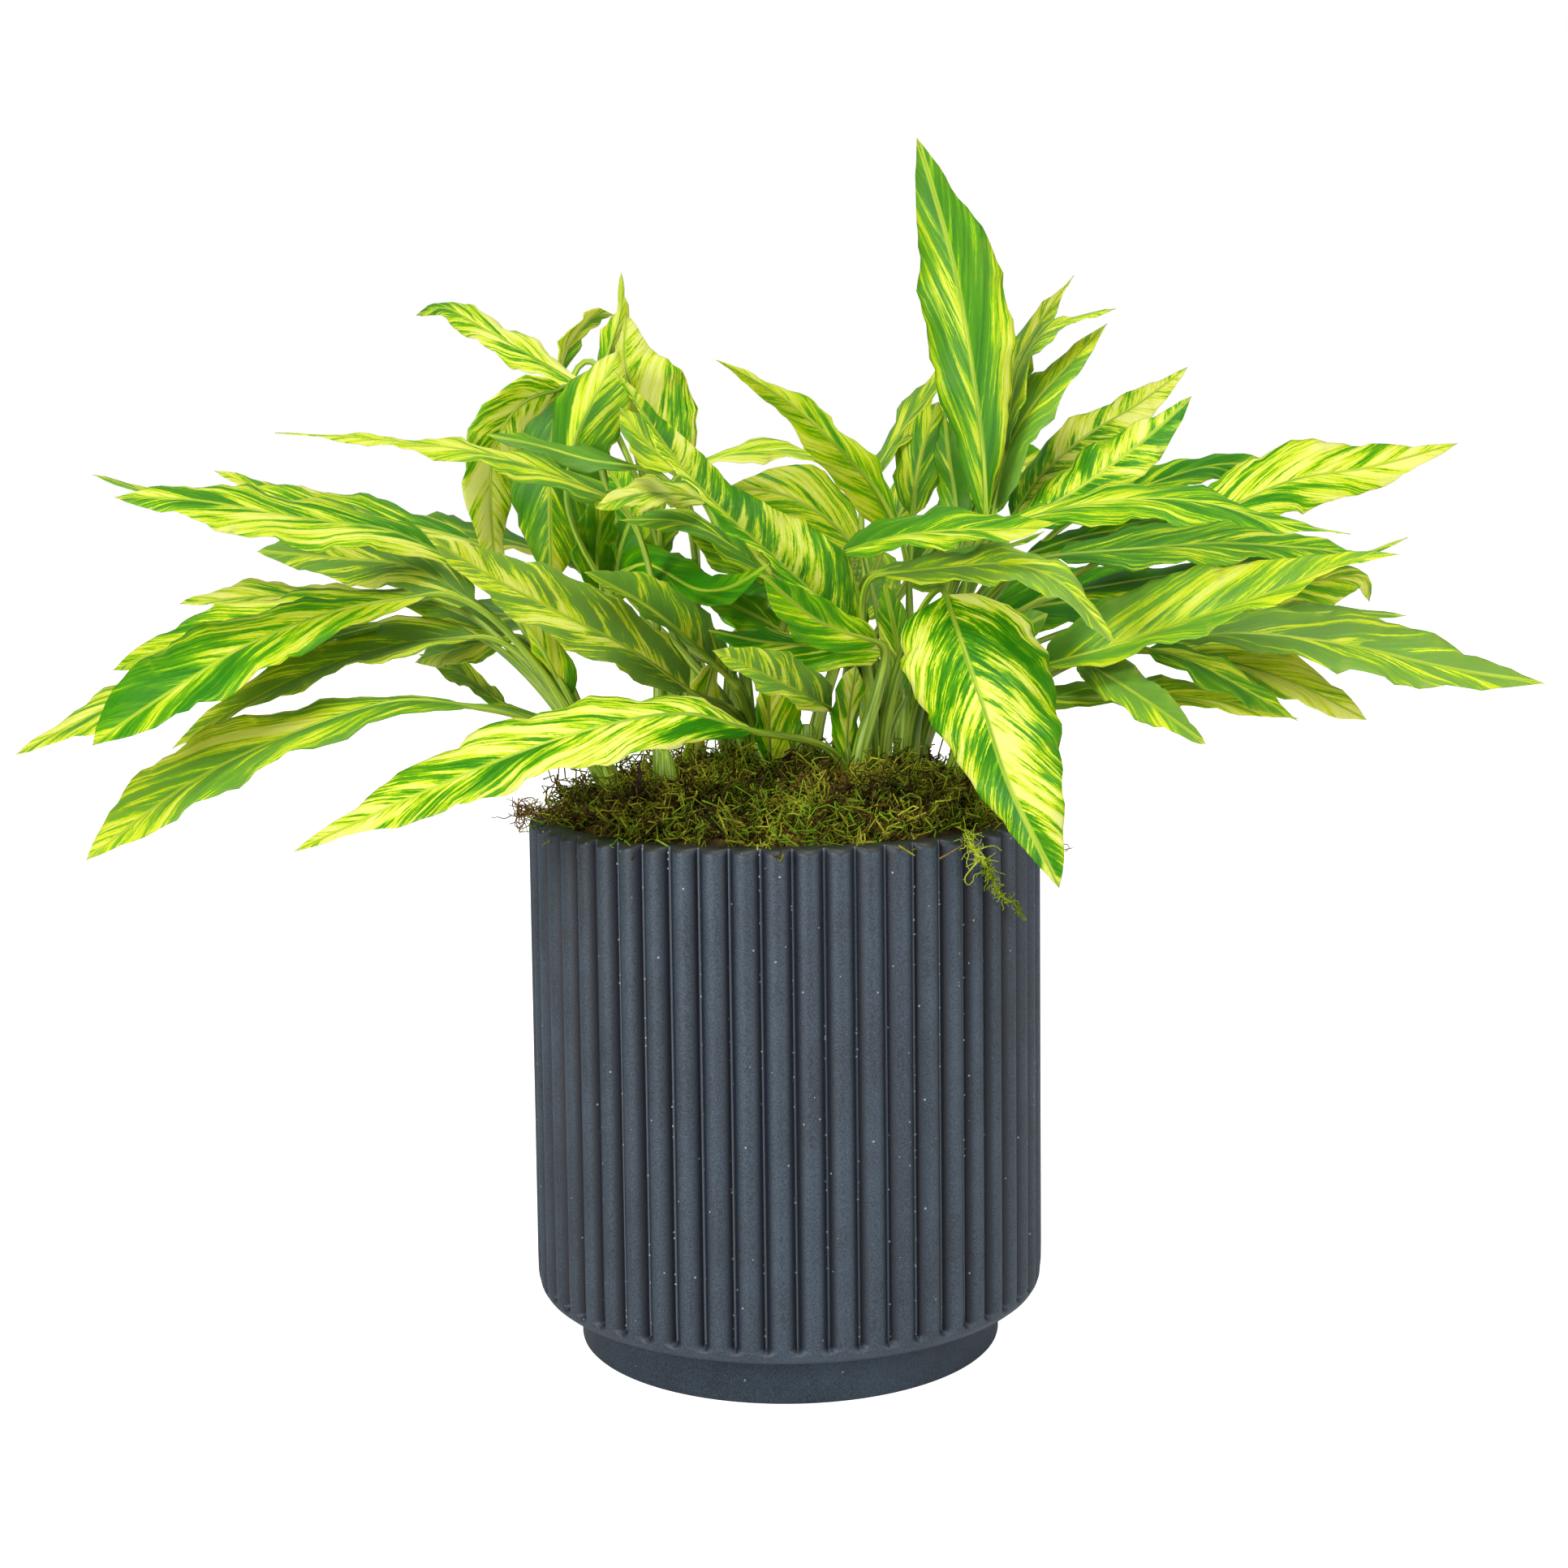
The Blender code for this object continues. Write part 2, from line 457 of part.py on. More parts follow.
def leaf_sections(name):
    """Six points a row along a whole leaf: left edge, midrib and right edge, above and below."""
    midrib, left, right = blade_lines(name, blade_rows(name))
    stalk = stalk_line(LEAVES[name][0], midrib)
    middle = np.vstack([stalk, midrib])
    along = unit(np.gradient(middle, axis=0))
    side = unit((left - right)[1])
    across = unit(side - along * (along @ side)[:, None])
    rows = []
    for i, centre in enumerate(middle):
        j = i - len(stalk)
        if j < 0:
            radius = STALK_FOOT_RADIUS + (STALK_RADIUS - STALK_FOOT_RADIUS) * i / len(stalk)
            halves = across[i] * radius, -across[i] * radius
            thick_middle, thick_edge = radius * 0.9, radius * 0.45
        else:
            along_blade = j / (len(midrib) - 1)
            spare = np.interp(along_blade, (0, 0.3, 1), (STALK_RADIUS, TIP_HALF_WIDTH, TIP_HALF_WIDTH))
            halves = []
            for edge, sign in ((left[j], 1), (right[j], -1)):
                half = edge - centre
                length = np.linalg.norm(half)
                outward = half / length if length > 0.5 * MM else sign * across[i]
                halves.append(outward * (length + spare))
            thick_middle = np.interp(j, (0, 3, len(midrib) - 1), (1.3 * MM, BLADE_MIDDLE, BLADE_EDGE))
            thick_edge = np.interp(j, (0, 3), (0.7 * MM, BLADE_EDGE))
        faces = [unit(np.cross(halves[0], along[i])), unit(np.cross(along[i], halves[1]))]
        ridge = unit(faces[0] + faces[1])
        left_edge, right_edge = centre + halves[0], centre + halves[1]
        rows.append([left_edge + faces[0] * thick_edge, centre + ridge * thick_middle,
                     right_edge + faces[1] * thick_edge, right_edge - faces[1] * thick_edge,
                     centre - ridge * thick_middle, left_edge - faces[0] * thick_edge])
    return np.array(rows)


def loft_faces(rows, sides):
    """Triangles of a closed loft, cut alike on its upper and its lower face."""
    faces = []
    for r in range(rows - 1):
        for k in range(sides):
            a, b = r * sides + k, r * sides + (k + 1) % sides
            c, d = a + sides, b + sides
            faces += [(a, b, d), (a, d, c)] if 2 * k < sides else [(a, b, c), (b, d, c)]
    last = (rows - 1) * sides
    for k in range(1, sides - 1):
        faces.append((0, k + 1, k))
        faces.append((last, last + k, last + k + 1))
    return faces


def tube_sections(line, radii, sides):
    """Rings of points round a line."""
    along = unit(np.gradient(line, axis=0))
    turn = 2 * np.pi * (np.arange(sides) + 0.5) / sides
    rings = []
    for centre, direction, radius in zip(line, along, radii):
        first = unit(np.cross((0.0, 1.0, 0.0), direction))
        second = np.cross(direction, first)
        rings.append([centre + radius * (np.cos(a) * first + np.sin(a) * second) for a in turn])
    return np.array(rings)


def stem_sections(shoot, extra=0.0):
    """Rings up a shoot's stem, or with some extra radius, of the hole that it stands in."""
    line = stem_line(shoot)
    radius = SHOOTS[shoot][2] * MM
    foot = STEM_FOOT_SHARE * radius
    radii = np.array([foot, foot, radius, radius]) + extra
    line[0, 2] -= extra
    return tube_sections(line, radii, STEM_SIDES)


# Blender objects


def material(name, colour, roughness):
    made = bpy.data.materials.new(name)
    made.use_nodes = True
    shader = made.node_tree.nodes["Principled BSDF"]
    shader.inputs["Base Color"].default_value = (*colour, 1.0)
    shader.inputs["Roughness"].default_value = roughness
    return made


def add_object(name, points, faces, collection, surface=None, smooth=True):
    mesh = bpy.data.meshes.new(name)
    mesh.from_pydata([tuple(p) for p in points], [], faces)
    work = bmesh.new()
    work.from_mesh(mesh)
    bmesh.ops.recalc_face_normals(work, faces=work.faces)
    if work.calc_volume(signed=True) < 0:
        bmesh.ops.reverse_faces(work, faces=work.faces)
    work.to_mesh(mesh)
    work.free()
    mesh.polygons.foreach_set("use_smooth", [smooth] * len(mesh.polygons))
    made = bpy.data.objects.new(name, mesh)
    if surface:
        mesh.materials.append(surface)
    collection.objects.link(made)
    return made


def add_loft(name, sections, collection, surface=None):
    rows, sides = sections.shape[:2]
    return add_object(name, sections.reshape(-1, 3), loft_faces(rows, sides), collection, surface)


def helper_collection(name):
    made = bpy.data.collections.new(name)
    bpy.context.scene.collection.children.link(made)
    made.hide_render = True
    return made


def apply_boolean(target, tools, operation):
    """Joins every object of the tools collection to the target, or cuts them from it, for good."""
    modifier = target.modifiers.new("tool", "BOOLEAN")
    modifier.operation = operation
    modifier.operand_type = "COLLECTION"
    modifier.collection = tools
    modifier.solver = "MANIFOLD"
    bpy.context.view_layer.update()
    graph = bpy.context.evaluated_depsgraph_get()
    mesh = bpy.data.meshes.new_from_object(target.evaluated_get(graph))
    target.modifiers.remove(modifier)
    old = target.data
    target.data = mesh
    bpy.data.meshes.remove(old)
    mesh.name = target.name
    for tool in list(tools.objects):
        bpy.data.objects.remove(tool)
    bpy.data.collections.remove(tools)


def keep_main_shell(target):
    """Fills hollows that the joining sealed, and drops loose scrap: only the largest shell stays."""
    work = bmesh.new()
    work.from_mesh(target.data)
    bmesh.ops.triangulate(work, faces=work.faces)
    left = set(work.verts)
    shells = []
    while left:
        shell = {left.pop()}
        edge = list(shell)
        while edge:
            near = {e.other_vert(v) for v in edge for e in v.link_edges} & left
            left -= near
            shell |= near
            edge = list(near)
        shells.append(shell)
    shells.sort(key=len)
    for shell in shells[:-1]:
        bmesh.ops.delete(work, geom=list(shell), context="VERTS")
    work.to_mesh(target.data)
    work.free()
    target.data.polygons.foreach_set("use_smooth", [True] * len(target.data.polygons))


def pot_rows():
    """Height, radius and share of fluting of each ring of the pot, from its foot to its inner floor."""
    slant = np.sqrt(0.5)
    return [
        (0.0, FOOT_RADIUS - FOOT_EDGE, None),
        (FOOT_EDGE, FOOT_RADIUS, None),
        (FOOT_HEIGHT, FOOT_RADIUS, None),
        *((height * MM, radius * MM, None) for height, radius in ROUNDING),
        (GROOVES_FULL, BODY_RADIUS, 1.0),
        (POT_HEIGHT - RIB_END, RIM_RADIUS, 1.0),
        (POT_HEIGHT - RIB_END * (1 - slant), RIM_RADIUS, slant),
        (POT_HEIGHT, RIM_RADIUS - GROOVE_DEPTH, None),
        (POT_HEIGHT, INNER_RADIUS + INNER_ROUND, None),
        (POT_HEIGHT - INNER_ROUND, INNER_RADIUS, None),
        (INNER_FLOOR, INNER_RADIUS, None),
    ]


def pot_ring(height, radius, fluting):
    """A plain ring has one point a groove, a fluted ring the whole rib section."""
    section = RIB_SECTION if fluting is not None else ((0.0, None),)
    points = []
    for rib in range(RIBS):
        for place, out in section:
            turn = FIRST_GROOVE + 2 * np.pi * (rib + place) / RIBS
            r = radius if out is None else radius - GROOVE_DEPTH * (1 - out * fluting)
            points.append((r * np.sin(turn), -r * np.cos(turn), height))
    return points


def stitch(first, second, ribs):
    """Triangles between two rings of point numbers, of which one may have more points a rib."""
    faces = []
    for rib in range(ribs):
        low, top = (
            [ring[(rib * len(ring) // ribs + k) % len(ring)] for k in range(len(ring) // ribs + 1)]
            for ring in (first, second)
        )
        i = j = 0
        while i < len(low) - 1 or j < len(top) - 1:
            if j * (len(low) - 1) <= i * (len(top) - 1) and j < len(top) - 1:
                faces.append((low[i], top[j + 1], top[j]))
                j += 1
            else:
                faces.append((low[i], low[i + 1], top[j]))
                i += 1
    return faces


def add_pot(collection, surface):
    points, rings, faces = [], [], []
    for row in pot_rows():
        ring = pot_ring(*row)
        rings.append(range(len(points), len(points) + len(ring)))
        points += ring
    for first, second in zip(rings, rings[1:]):
        faces += stitch(first, second, RIBS)
    for height, ring in ((0.0, rings[0]), (INNER_FLOOR, rings[-1])):
        points.append((0.0, 0.0, height))
        faces += [(ring[k], ring[(k + 1) % RIBS], len(points) - 1) for k in range(RIBS)]
    return add_object("pot", points, faces, collection, surface)


def moss_height(radius, turn):
    """A low mound, lumpy by three sums of waves."""
    mound = MOSS_EDGE + MOSS_RISE * (1 - (radius / INNER_RADIUS) ** 2)
    x, y = radius * np.cos(turn) / MM, radius * np.sin(turn) / MM
    lumps = np.sin(x / 9 + 1.3) * np.sin(y / 8)
    lumps = lumps + 0.7 * np.sin(x / 15 - y / 13 + 2) + 0.5 * np.sin(x / 6 + y / 21)
    return mound + MOSS_LUMP * lumps


def add_moss(collection, surface):
    outer = INNER_RADIUS - GAP
    low = SOIL_TOP + GAP
    points, faces = [(0.0, 0.0, low)], []
    rings = []
    inward = [outer * (MOSS_RINGS - k) / MOSS_RINGS for k in range(MOSS_RINGS)]
    for ring, radius in enumerate([outer] + inward):
        rings.append(range(len(points), len(points) + MOSS_SIDES))
        for k in range(MOSS_SIDES):
            turn = 2 * np.pi * (k + 0.5 * (ring > 1) * (ring % 2)) / MOSS_SIDES
            height = low if ring == 0 else moss_height(radius, turn)
            points.append((radius * np.cos(turn), radius * np.sin(turn), height))
    points.append((0.0, 0.0, moss_height(0.0, 0.0)))
    for first, second in zip(rings, rings[1:]):
        for k in range(MOSS_SIDES):
            a, b, c, d = first[k], first[(k + 1) % MOSS_SIDES], second[k], second[(k + 1) % MOSS_SIDES]
            faces += [(a, b, d), (a, d, c)]
    for k in range(MOSS_SIDES):
        faces.append((0, rings[0][(k + 1) % MOSS_SIDES], rings[0][k]))
        faces.append((len(points) - 1, rings[-1][k], rings[-1][(k + 1) % MOSS_SIDES]))
    return add_object("moss_bed", points, faces, collection, surface)


def add_soil(collection, surface):
    """A turned block of soil that fills the pot up to under the moss."""
    radius, low = INNER_RADIUS - GAP, INNER_FLOOR + GAP
    place = Matrix.Translation(Vector((0, 0, (SOIL_TOP + low) / 2)))
    work = bmesh.new()
    bmesh.ops.create_cone(work, cap_ends=True, segments=SOIL_SIDES, radius1=radius, radius2=radius,
                          depth=SOIL_TOP - low, matrix=place)
    mesh = bpy.data.meshes.new("soil")
    work.to_mesh(mesh)
    work.free()
    mesh.materials.append(surface)
    made = bpy.data.objects.new("soil", mesh)
    collection.objects.link(made)
    return made


def cut_stem_holes(target):
    holes = helper_collection("holes")
    for shoot in SHOOTS:
        add_loft("hole_" + shoot, stem_sections(shoot, GAP), holes)
    apply_boolean(target, holes, "DIFFERENCE")


def add_shoot(shoot, collection, surface):
    stem = add_loft(shoot, stem_sections(shoot), collection, surface)
    blades = helper_collection("blades")
    for name, row in LEAVES.items():
        if row[0] == shoot:
            add_loft(name, leaf_sections(name), blades)
    apply_boolean(stem, blades, "UNION")
    keep_main_shell(stem)
    return stem


def clear_scene():
    for old in list(bpy.data.objects):
        bpy.data.objects.remove(old)


def main():
    clear_scene()
    plant = bpy.data.collections.new("potted_plant")
    bpy.context.scene.collection.children.link(plant)
    add_pot(plant, material("pot_glaze", (0.045, 0.058, 0.075), 0.55))
    soil = add_soil(plant, material("dark_soil", (0.045, 0.028, 0.016), 0.95))
    moss = add_moss(plant, material("moss", (0.11, 0.13, 0.02), 0.95))
    cut_stem_holes(soil)
    cut_stem_holes(moss)
    leaf_green = material("striped_leaf", (0.16, 0.38, 0.03), 0.5)
    for shoot in SHOOTS:
        add_shoot(shoot, plant, leaf_green)


main()
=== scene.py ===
# %% [markdown]
# A potted foliage plant: a fluted, dark stone planter on a recessed foot, moss heaped over its soil,
# and a dozen leafy shoots with long pointed leaves, streaked in yellow and green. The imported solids
# are the fixed frame; each piece below is a finer form of one of them, in the same place.

import bpy
import numpy as np
from mathutils import Matrix, Vector


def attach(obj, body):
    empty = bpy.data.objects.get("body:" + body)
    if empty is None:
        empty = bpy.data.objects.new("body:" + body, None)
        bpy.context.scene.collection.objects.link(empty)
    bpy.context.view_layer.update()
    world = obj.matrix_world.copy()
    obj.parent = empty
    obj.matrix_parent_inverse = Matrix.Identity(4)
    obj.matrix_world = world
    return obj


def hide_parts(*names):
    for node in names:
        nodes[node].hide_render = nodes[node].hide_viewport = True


MM = 0.001
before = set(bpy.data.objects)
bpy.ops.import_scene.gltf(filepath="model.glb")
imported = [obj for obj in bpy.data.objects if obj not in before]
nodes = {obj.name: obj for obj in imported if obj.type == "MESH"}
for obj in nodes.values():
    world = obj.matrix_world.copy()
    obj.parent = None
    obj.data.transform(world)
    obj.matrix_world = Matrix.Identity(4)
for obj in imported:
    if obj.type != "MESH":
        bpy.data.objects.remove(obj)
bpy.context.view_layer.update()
print("solids:", ", ".join(sorted(nodes)))

# %% [markdown]
# The photographer stood straight in front, a metre off and a little above the rim, and looked down
# by seven degrees. The camera is set from that place, that tilt and a focal length in picture
# widths, rather than by eye, so that every leaf can be laid where it shows.

# %% Camera
VIEWPOINT = np.array([0.0, -1084.6, 408.7]) * MM
VIEW_DOWN = 0.1219  # radians
VIEW_ROLL = 0.0121
FOCAL_WIDTHS = 2729.5 / 1932


def add_object(name, data):
    made = bpy.data.objects.new(name, data)
    bpy.context.scene.collection.objects.link(made)
    return made


def add_camera():
    data = bpy.data.cameras.new("photo_view")
    data.sensor_width = 36.0
    data.lens = FOCAL_WIDTHS * data.sensor_width
    made = add_object("photo_view", data)
    tilt = Matrix.Rotation(np.pi / 2 - VIEW_DOWN, 4, "X")
    roll = Matrix.Rotation(-VIEW_ROLL, 4, "Z")
    made.matrix_world = Matrix.Translation(Vector(VIEWPOINT)) @ tilt @ roll
    bpy.context.scene.camera = made
    return made


camera = add_camera()
print("lens", round(camera.data.lens, 2), "mm")

# %% [markdown]
# Node trees are the same few steps each time: make a node, set its options, and give each of its
# inputs a number or a link. One helper does that for materials, shader groups and geometry alike.
# What a node gives out can be reckoned with like a number, so a tree reads as a formula.


# %% Nodes
class Output:
    """An output of a node. A sum with it makes the math node for that sum, as in 1 - a * b."""

    def __init__(self, socket):
        self.socket, self.tree = socket, socket.id_data

    def __add__(self, b):
        return reckon("ADD", self, b)

    def __sub__(self, b):
        return reckon("SUBTRACT", self, b)

    def __rsub__(self, a):
        return reckon("SUBTRACT", a, self)

    def __mul__(self, b):
        return reckon("MULTIPLY", self, b)

    def __truediv__(self, b):
        return reckon("DIVIDE", self, b)

    def __pow__(self, b):
        return reckon("POWER", self, b)

    def __lt__(self, b):
        return reckon("LESS_THAN", self, b)

    def __gt__(self, b):
        return reckon("GREATER_THAN", self, b)

    def __abs__(self):
        return reckon("ABSOLUTE", self)


class Node:
    """A new node, whose outputs are read by number or name."""

    def __init__(self, node):
        self.node = node

    def __getitem__(self, key):
        return Output(self.node.outputs[key])


def fill(node, inputs):
    """Sets or links inputs. A name has _ for each space, and n0, n1 ... stand for numbers."""
    for key, value in inputs.items():
        numbered = key[0] == "n" and key[1:].isdigit()
        socket = node.inputs[int(key[1:]) if numbered else key.replace("_", " ")]
        if isinstance(value, Output):
            value.tree.links.new(value.socket, socket)
        elif socket.type == "RGBA" and len(value) == 3:
            socket.default_value = (*value, 1.0)
        else:
            socket.default_value = value


def put(tree, kind, options=None, **inputs):
    made = tree.nodes.new(kind)
    for key, value in (options or {}).items():
        setattr(made, key, value)
    fill(made, inputs)
    return Node(made)


def tree_of(*values):
    return next(value.tree for value in values if isinstance(value, Output))


def reckon(operation, a, b=0.0, c=0.0, clamp=False):
    options = {"operation": operation, "use_clamp": clamp}
    return put(tree_of(a, b), "ShaderNodeMath", options, n0=a, n1=b, n2=c)[0]


# %% [markdown]
# A few steps come back in many trees: vectors that are put together and taken apart, soft limits,
# noise and colour ramps. They get names of their own.


# %% Node helpers
def vector_step(operation, a, **more):
    return put(a.tree, "ShaderNodeVectorMath", {"operation": operation}, n0=a, **more)


def joined(x, y, z):
    return put(tree_of(x, y, z), "ShaderNodeCombineXYZ", X=x, Y=y, Z=z)[0]


def apart(vector):
    made = put(vector.tree, "ShaderNodeSeparateXYZ", Vector=vector)
    return made[0], made[1], made[2]


def fade(value, start, end):
    """0 at start, 1 at end, and smooth between."""
    return put(value.tree, "ShaderNodeMapRange", {"interpolation_type": "SMOOTHSTEP"},
               Value=value, From_Min=start, From_Max=end)[0]


def blend_colour(share, a, b):
    return put(share.tree, "ShaderNodeMix", {"data_type": "RGBA"}, Factor=share, n6=a, n7=b)[2]


def noise(vector, scale, detail=2.0, roughness=0.5, distortion=0.0):
    return put(vector.tree, "ShaderNodeTexNoise", Vector=vector, Scale=scale, Detail=detail,
               Roughness=roughness, Distortion=distortion)[0]


def ramp(value, stops):
    made = put(value.tree, "ShaderNodeValToRGB", Fac=value)
    steps = made.node.color_ramp.elements
    while len(steps) < len(stops):
        steps.new(0.5)
    for step, (place, colour) in zip(steps, stops):
        step.position = place
        step.color = (*colour, 1.0)
    return made[0]


def new_group(name, kind, inputs, outputs):
    """An empty node group with named inputs and outputs: its tree and what its inputs give."""
    tree = bpy.data.node_groups.new(name, kind)
    for direction, sockets in (("INPUT", inputs), ("OUTPUT", outputs)):
        for key, held in sockets.items():
            tree.interface.new_socket(name=key, in_out=direction, socket_type="NodeSocket" + held)
    return tree, put(tree, "NodeGroupInput")


# %% [markdown]
# A material reads where a point is, or a number stored on the mesh, and ends in a colour and some
# plain settings. Colours are written as a screen shows them.


# %% Material helpers
def rgb(red, green, blue):
    """A colour as a screen shows it, 0 to 255, as the light that it stands for."""
    shown = np.array([red, green, blue]) / 255
    light = np.where(shown <= 0.04045, shown / 12.92, ((shown + 0.055) / 1.055) ** 2.4)
    return tuple(light.tolist())


def new_tree(name):
    made = bpy.data.materials.new(name)
    made.use_nodes = True
    return made, made.node_tree


def object_place(tree):
    return put(tree, "ShaderNodeTexCoord")["Object"]


def stored(tree, name, output):
    return put(tree, "ShaderNodeAttribute", {"attribute_name": name})[output]


def set_finish(tree, colour, roughness, bump=None, **more):
    """Sets the surface. The bump is a height from 0 to 1, its strength and its depth in metres."""
    if bump:
        height, strength, depth = bump
        more["Normal"] = put(tree, "ShaderNodeBump", Strength=strength, Distance=depth, Height=height)[0]
    fill(tree.nodes["Principled BSDF"], {"Base_Color": colour, "Roughness": roughness, **more})


# %% [markdown]
# The picture was taken in a white studio, with the light on the plant and a backdrop that is plain
# white. The sky looks white to the camera but lights the plant only weakly, so that the soft lamps
# from the front, above and beside it still shape the ribs and the leaves. The floor is treated alike:
# to the camera it glows as white as the sky, so that it has no horizon and no hard shadow.

# %% Floor and light
FLOOR_SIDE = 40.0
FLOOR_TONE = 0.75
SEEN_WHITE = 1.0
SKY_LIGHT = 0.28
WHITE = (1.0, 1.0, 1.0)
LAMP_TARGET = Vector((0.0, 0.0, 0.3))
# Name, place, width and watts of each lamp.
LAMPS = (
    ("key_lamp", (-1.6, -2.1, 1.05), 0.9, 54.0),
    ("top_lamp", (0.2, -0.7, 2.4), 1.2, 34.0),
    ("fill_lamp", (2.0, -1.5, 0.9), 1.2, 24.0),
)


def white_to_camera(tree, otherwise):
    """Full white where the camera looks straight at it, and a weaker light for all else."""
    looked_at = put(tree, "ShaderNodeLightPath")["Is Camera Ray"]
    return put(tree, "ShaderNodeMapRange", Value=looked_at, To_Min=otherwise, To_Max=SEEN_WHITE)[0]


def add_floor():
    half = FLOOR_SIDE / 2
    corners = [(-half, -half, 0), (half, -half, 0), (half, half, 0), (-half, half, 0)]
    mesh = bpy.data.meshes.new("floor")
    mesh.from_pydata(corners, [], [(0, 1, 2, 3)])
    white, tree = new_tree("studio_floor")
    glow = white_to_camera(tree, 0.0)
    set_finish(tree, (FLOOR_TONE,) * 3, 0.9, Emission_Color=WHITE, Emission_Strength=glow)
    mesh.materials.append(white)
    made = add_object("floor", mesh)


def add_sky():
    sky = bpy.data.worlds.new("white_studio")
    sky.use_nodes = True
    tree = sky.node_tree
    fill(tree.nodes["Background"], {"Color": WHITE, "Strength": white_to_camera(tree, SKY_LIGHT)})
    bpy.context.scene.world = sky


def add_lamp(name, place, width, watts):
    data = bpy.data.lights.new(name, "AREA")
    data.shape = "DISK"
    data.size = width
    data.energy = watts
    made = add_object(name, data)
    made.location = place
    made.rotation_euler = (LAMP_TARGET - Vector(place)).to_track_quat("-Z", "Y").to_euler()


add_floor()
add_sky()
for lamp in LAMPS:
    add_lamp(*lamp)
bpy.context.scene.view_settings.view_transform = "Standard"

# %% [markdown]
# A finished piece is one mesh at the origin with its place in its points, as the solids are. The
# first helper makes such a mesh from arrays, with the numbers that its materials read. The others
# run a geometry node tree on a piece and keep the plain mesh that comes out.


# %% Mesh helpers
def add_piece(name, points, faces, materials, face_materials=None, numbers=None, uv=None):
    mesh = bpy.data.meshes.new(name)
    mesh.from_pydata(np.asarray(points).tolist(), [], faces)
    for surface in materials:
        mesh.materials.append(surface)
    if face_materials is not None:
        mesh.polygons.foreach_set("material_index", np.asarray(face_materials, np.int32))
    for key, values in (numbers or {}).items():
        mesh.attributes.new(key, "FLOAT_VECTOR", "POINT").data.foreach_set("vector", np.ravel(values))
    if uv is not None:
        corners = np.empty(len(mesh.loops), np.int32)
        mesh.loops.foreach_get("vertex_index", corners)
        mesh.uv_layers.new(name="leaf").data.foreach_set("uv", np.ravel(np.asarray(uv)[corners]))
    mesh.polygons.foreach_set("use_smooth", np.ones(len(mesh.polygons), bool))
    mesh.validate()
    return add_object(name, mesh)


def new_rule(name, inputs):
    """An empty geometry node tree that takes and gives geometry, with named inputs for its sizes."""
    shape = {"Geometry": "Geometry"}
    return new_group(name, "GeometryNodeTree", {**shape, **inputs}, shape)


def end_rule(geometry, surface):
    tree = geometry.tree
    real = put(tree, "GeometryNodeRealizeInstances", Geometry=geometry)
    smooth = put(tree, "GeometryNodeSetShadeSmooth", n0=real[0])
    finish = put(tree, "GeometryNodeSetMaterial", Geometry=smooth[0], Material=surface)
    put(tree, "NodeGroupOutput", Geometry=finish[0])
    return tree


def run_rule(piece, tree, values):
    step = piece.modifiers.new(tree.name, "NODES")
    step.node_group = tree
    sockets = {item.name: item.identifier for item in tree.interface.items_tree if item.in_out == "INPUT"}
    for key, value in values.items():
        step[sockets[key]] = value
    bpy.context.view_layer.update()
    shaped = piece.evaluated_get(bpy.context.evaluated_depsgraph_get())
    mesh = bpy.data.meshes.new_from_object(shaped)
    piece.modifiers.remove(step)
    old = piece.data
    piece.data = mesh
    bpy.data.meshes.remove(old)
    mesh.name = piece.name


def keep(piece, material_slot, *replaced):
    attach(piece, "root")
    if replaced:
        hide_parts(*replaced)
    print(piece.name, sum(len(face.vertices) - 2 for face in piece.data.polygons), "triangles")


# %% [markdown]
# The planter is cast in a stone mix: matt charcoal with a blue cast, a fine sandy grain that breaks
# up the light, and a few pale grains. Chips of pale sand line the grooves between the ribs. Shade is
# painted on as well: each rib is painted darker towards its grooves, and the flat rim and the domed
# tops of the ribs are painted dark for the shade under the foliage. The groove mask is a number
# stored on the mesh, so that the colour follows the form exactly.

# %% Stone finish
POT_CHARCOAL = rgb(46, 58, 70)
# painted shade: the colour that each rib darkens to towards its grooves
POT_SHADED_GROOVE = rgb(12, 20, 32)
POT_LINE = rgb(84, 92, 102)
# painted shade of the flat rim and the domed rib tops, which lie under the foliage
POT_SHADED_RIM = rgb(34, 37, 36)
POT_GRAIN = rgb(170, 176, 178)
DARKEST, LIGHTEST = 0.35, 1.7  # the sand against the plain charcoal
TONE_RANGE = (0.34, 0.66)  # of the noise, from the darkest to the lightest sand
# Where these set in by the stored groove number, 0 on a rib and 1 in the middle of a groove.
GROOVE_SHADE, LINE_SHADE, CHIPS_START = (-0.1, 0.95), (0.97, 0.991), (0.9, 0.97)
FINE_SAND, BROAD_SAND, GRAIN_CELLS = 1200.0, 26.0, 420.0  # changes per metre
WALL_SPECKS, GROOVE_CHIPS = 0.022, 0.22  # share of the grains that are pale
SPECK_RADIUS = 0.2  # against the size of a grain's cell
RIM_SHADE_HEIGHTS = (0.2616, 0.2621)  # metres, where the wall's colour turns to the painted shade of the rim
RIM_SHADE_CREST_DROP = 0.0026  # how much lower the rim's painted shade begins on a rib's crest


def make_grain():
    """Sandy grain: a darker or lighter tone, pale specks, and the height of the grain."""
    tree, given = new_group("sandy_grain", "ShaderNodeTree", {"Place": "Vector", "Speck share": "Float"},
                            {"Tone": "Float", "Specks": "Float", "Height": "Float"})
    fine = noise(given["Place"], FINE_SAND, 3.0, 0.75)
    broad = noise(given["Place"], BROAD_SAND, 3.0, 0.6)
    cell = put(tree, "ShaderNodeTexVoronoi", Vector=given["Place"], Scale=GRAIN_CELLS)
    pick = put(tree, "ShaderNodeSeparateColor", Color=cell["Color"])[0]
    specks = (pick < given["Speck share"]) * (cell["Distance"] < SPECK_RADIUS)
    put(tree, "NodeGroupOutput", Tone=fine * 0.75 + broad * 0.25, Specks=specks, Height=fine)
    return tree


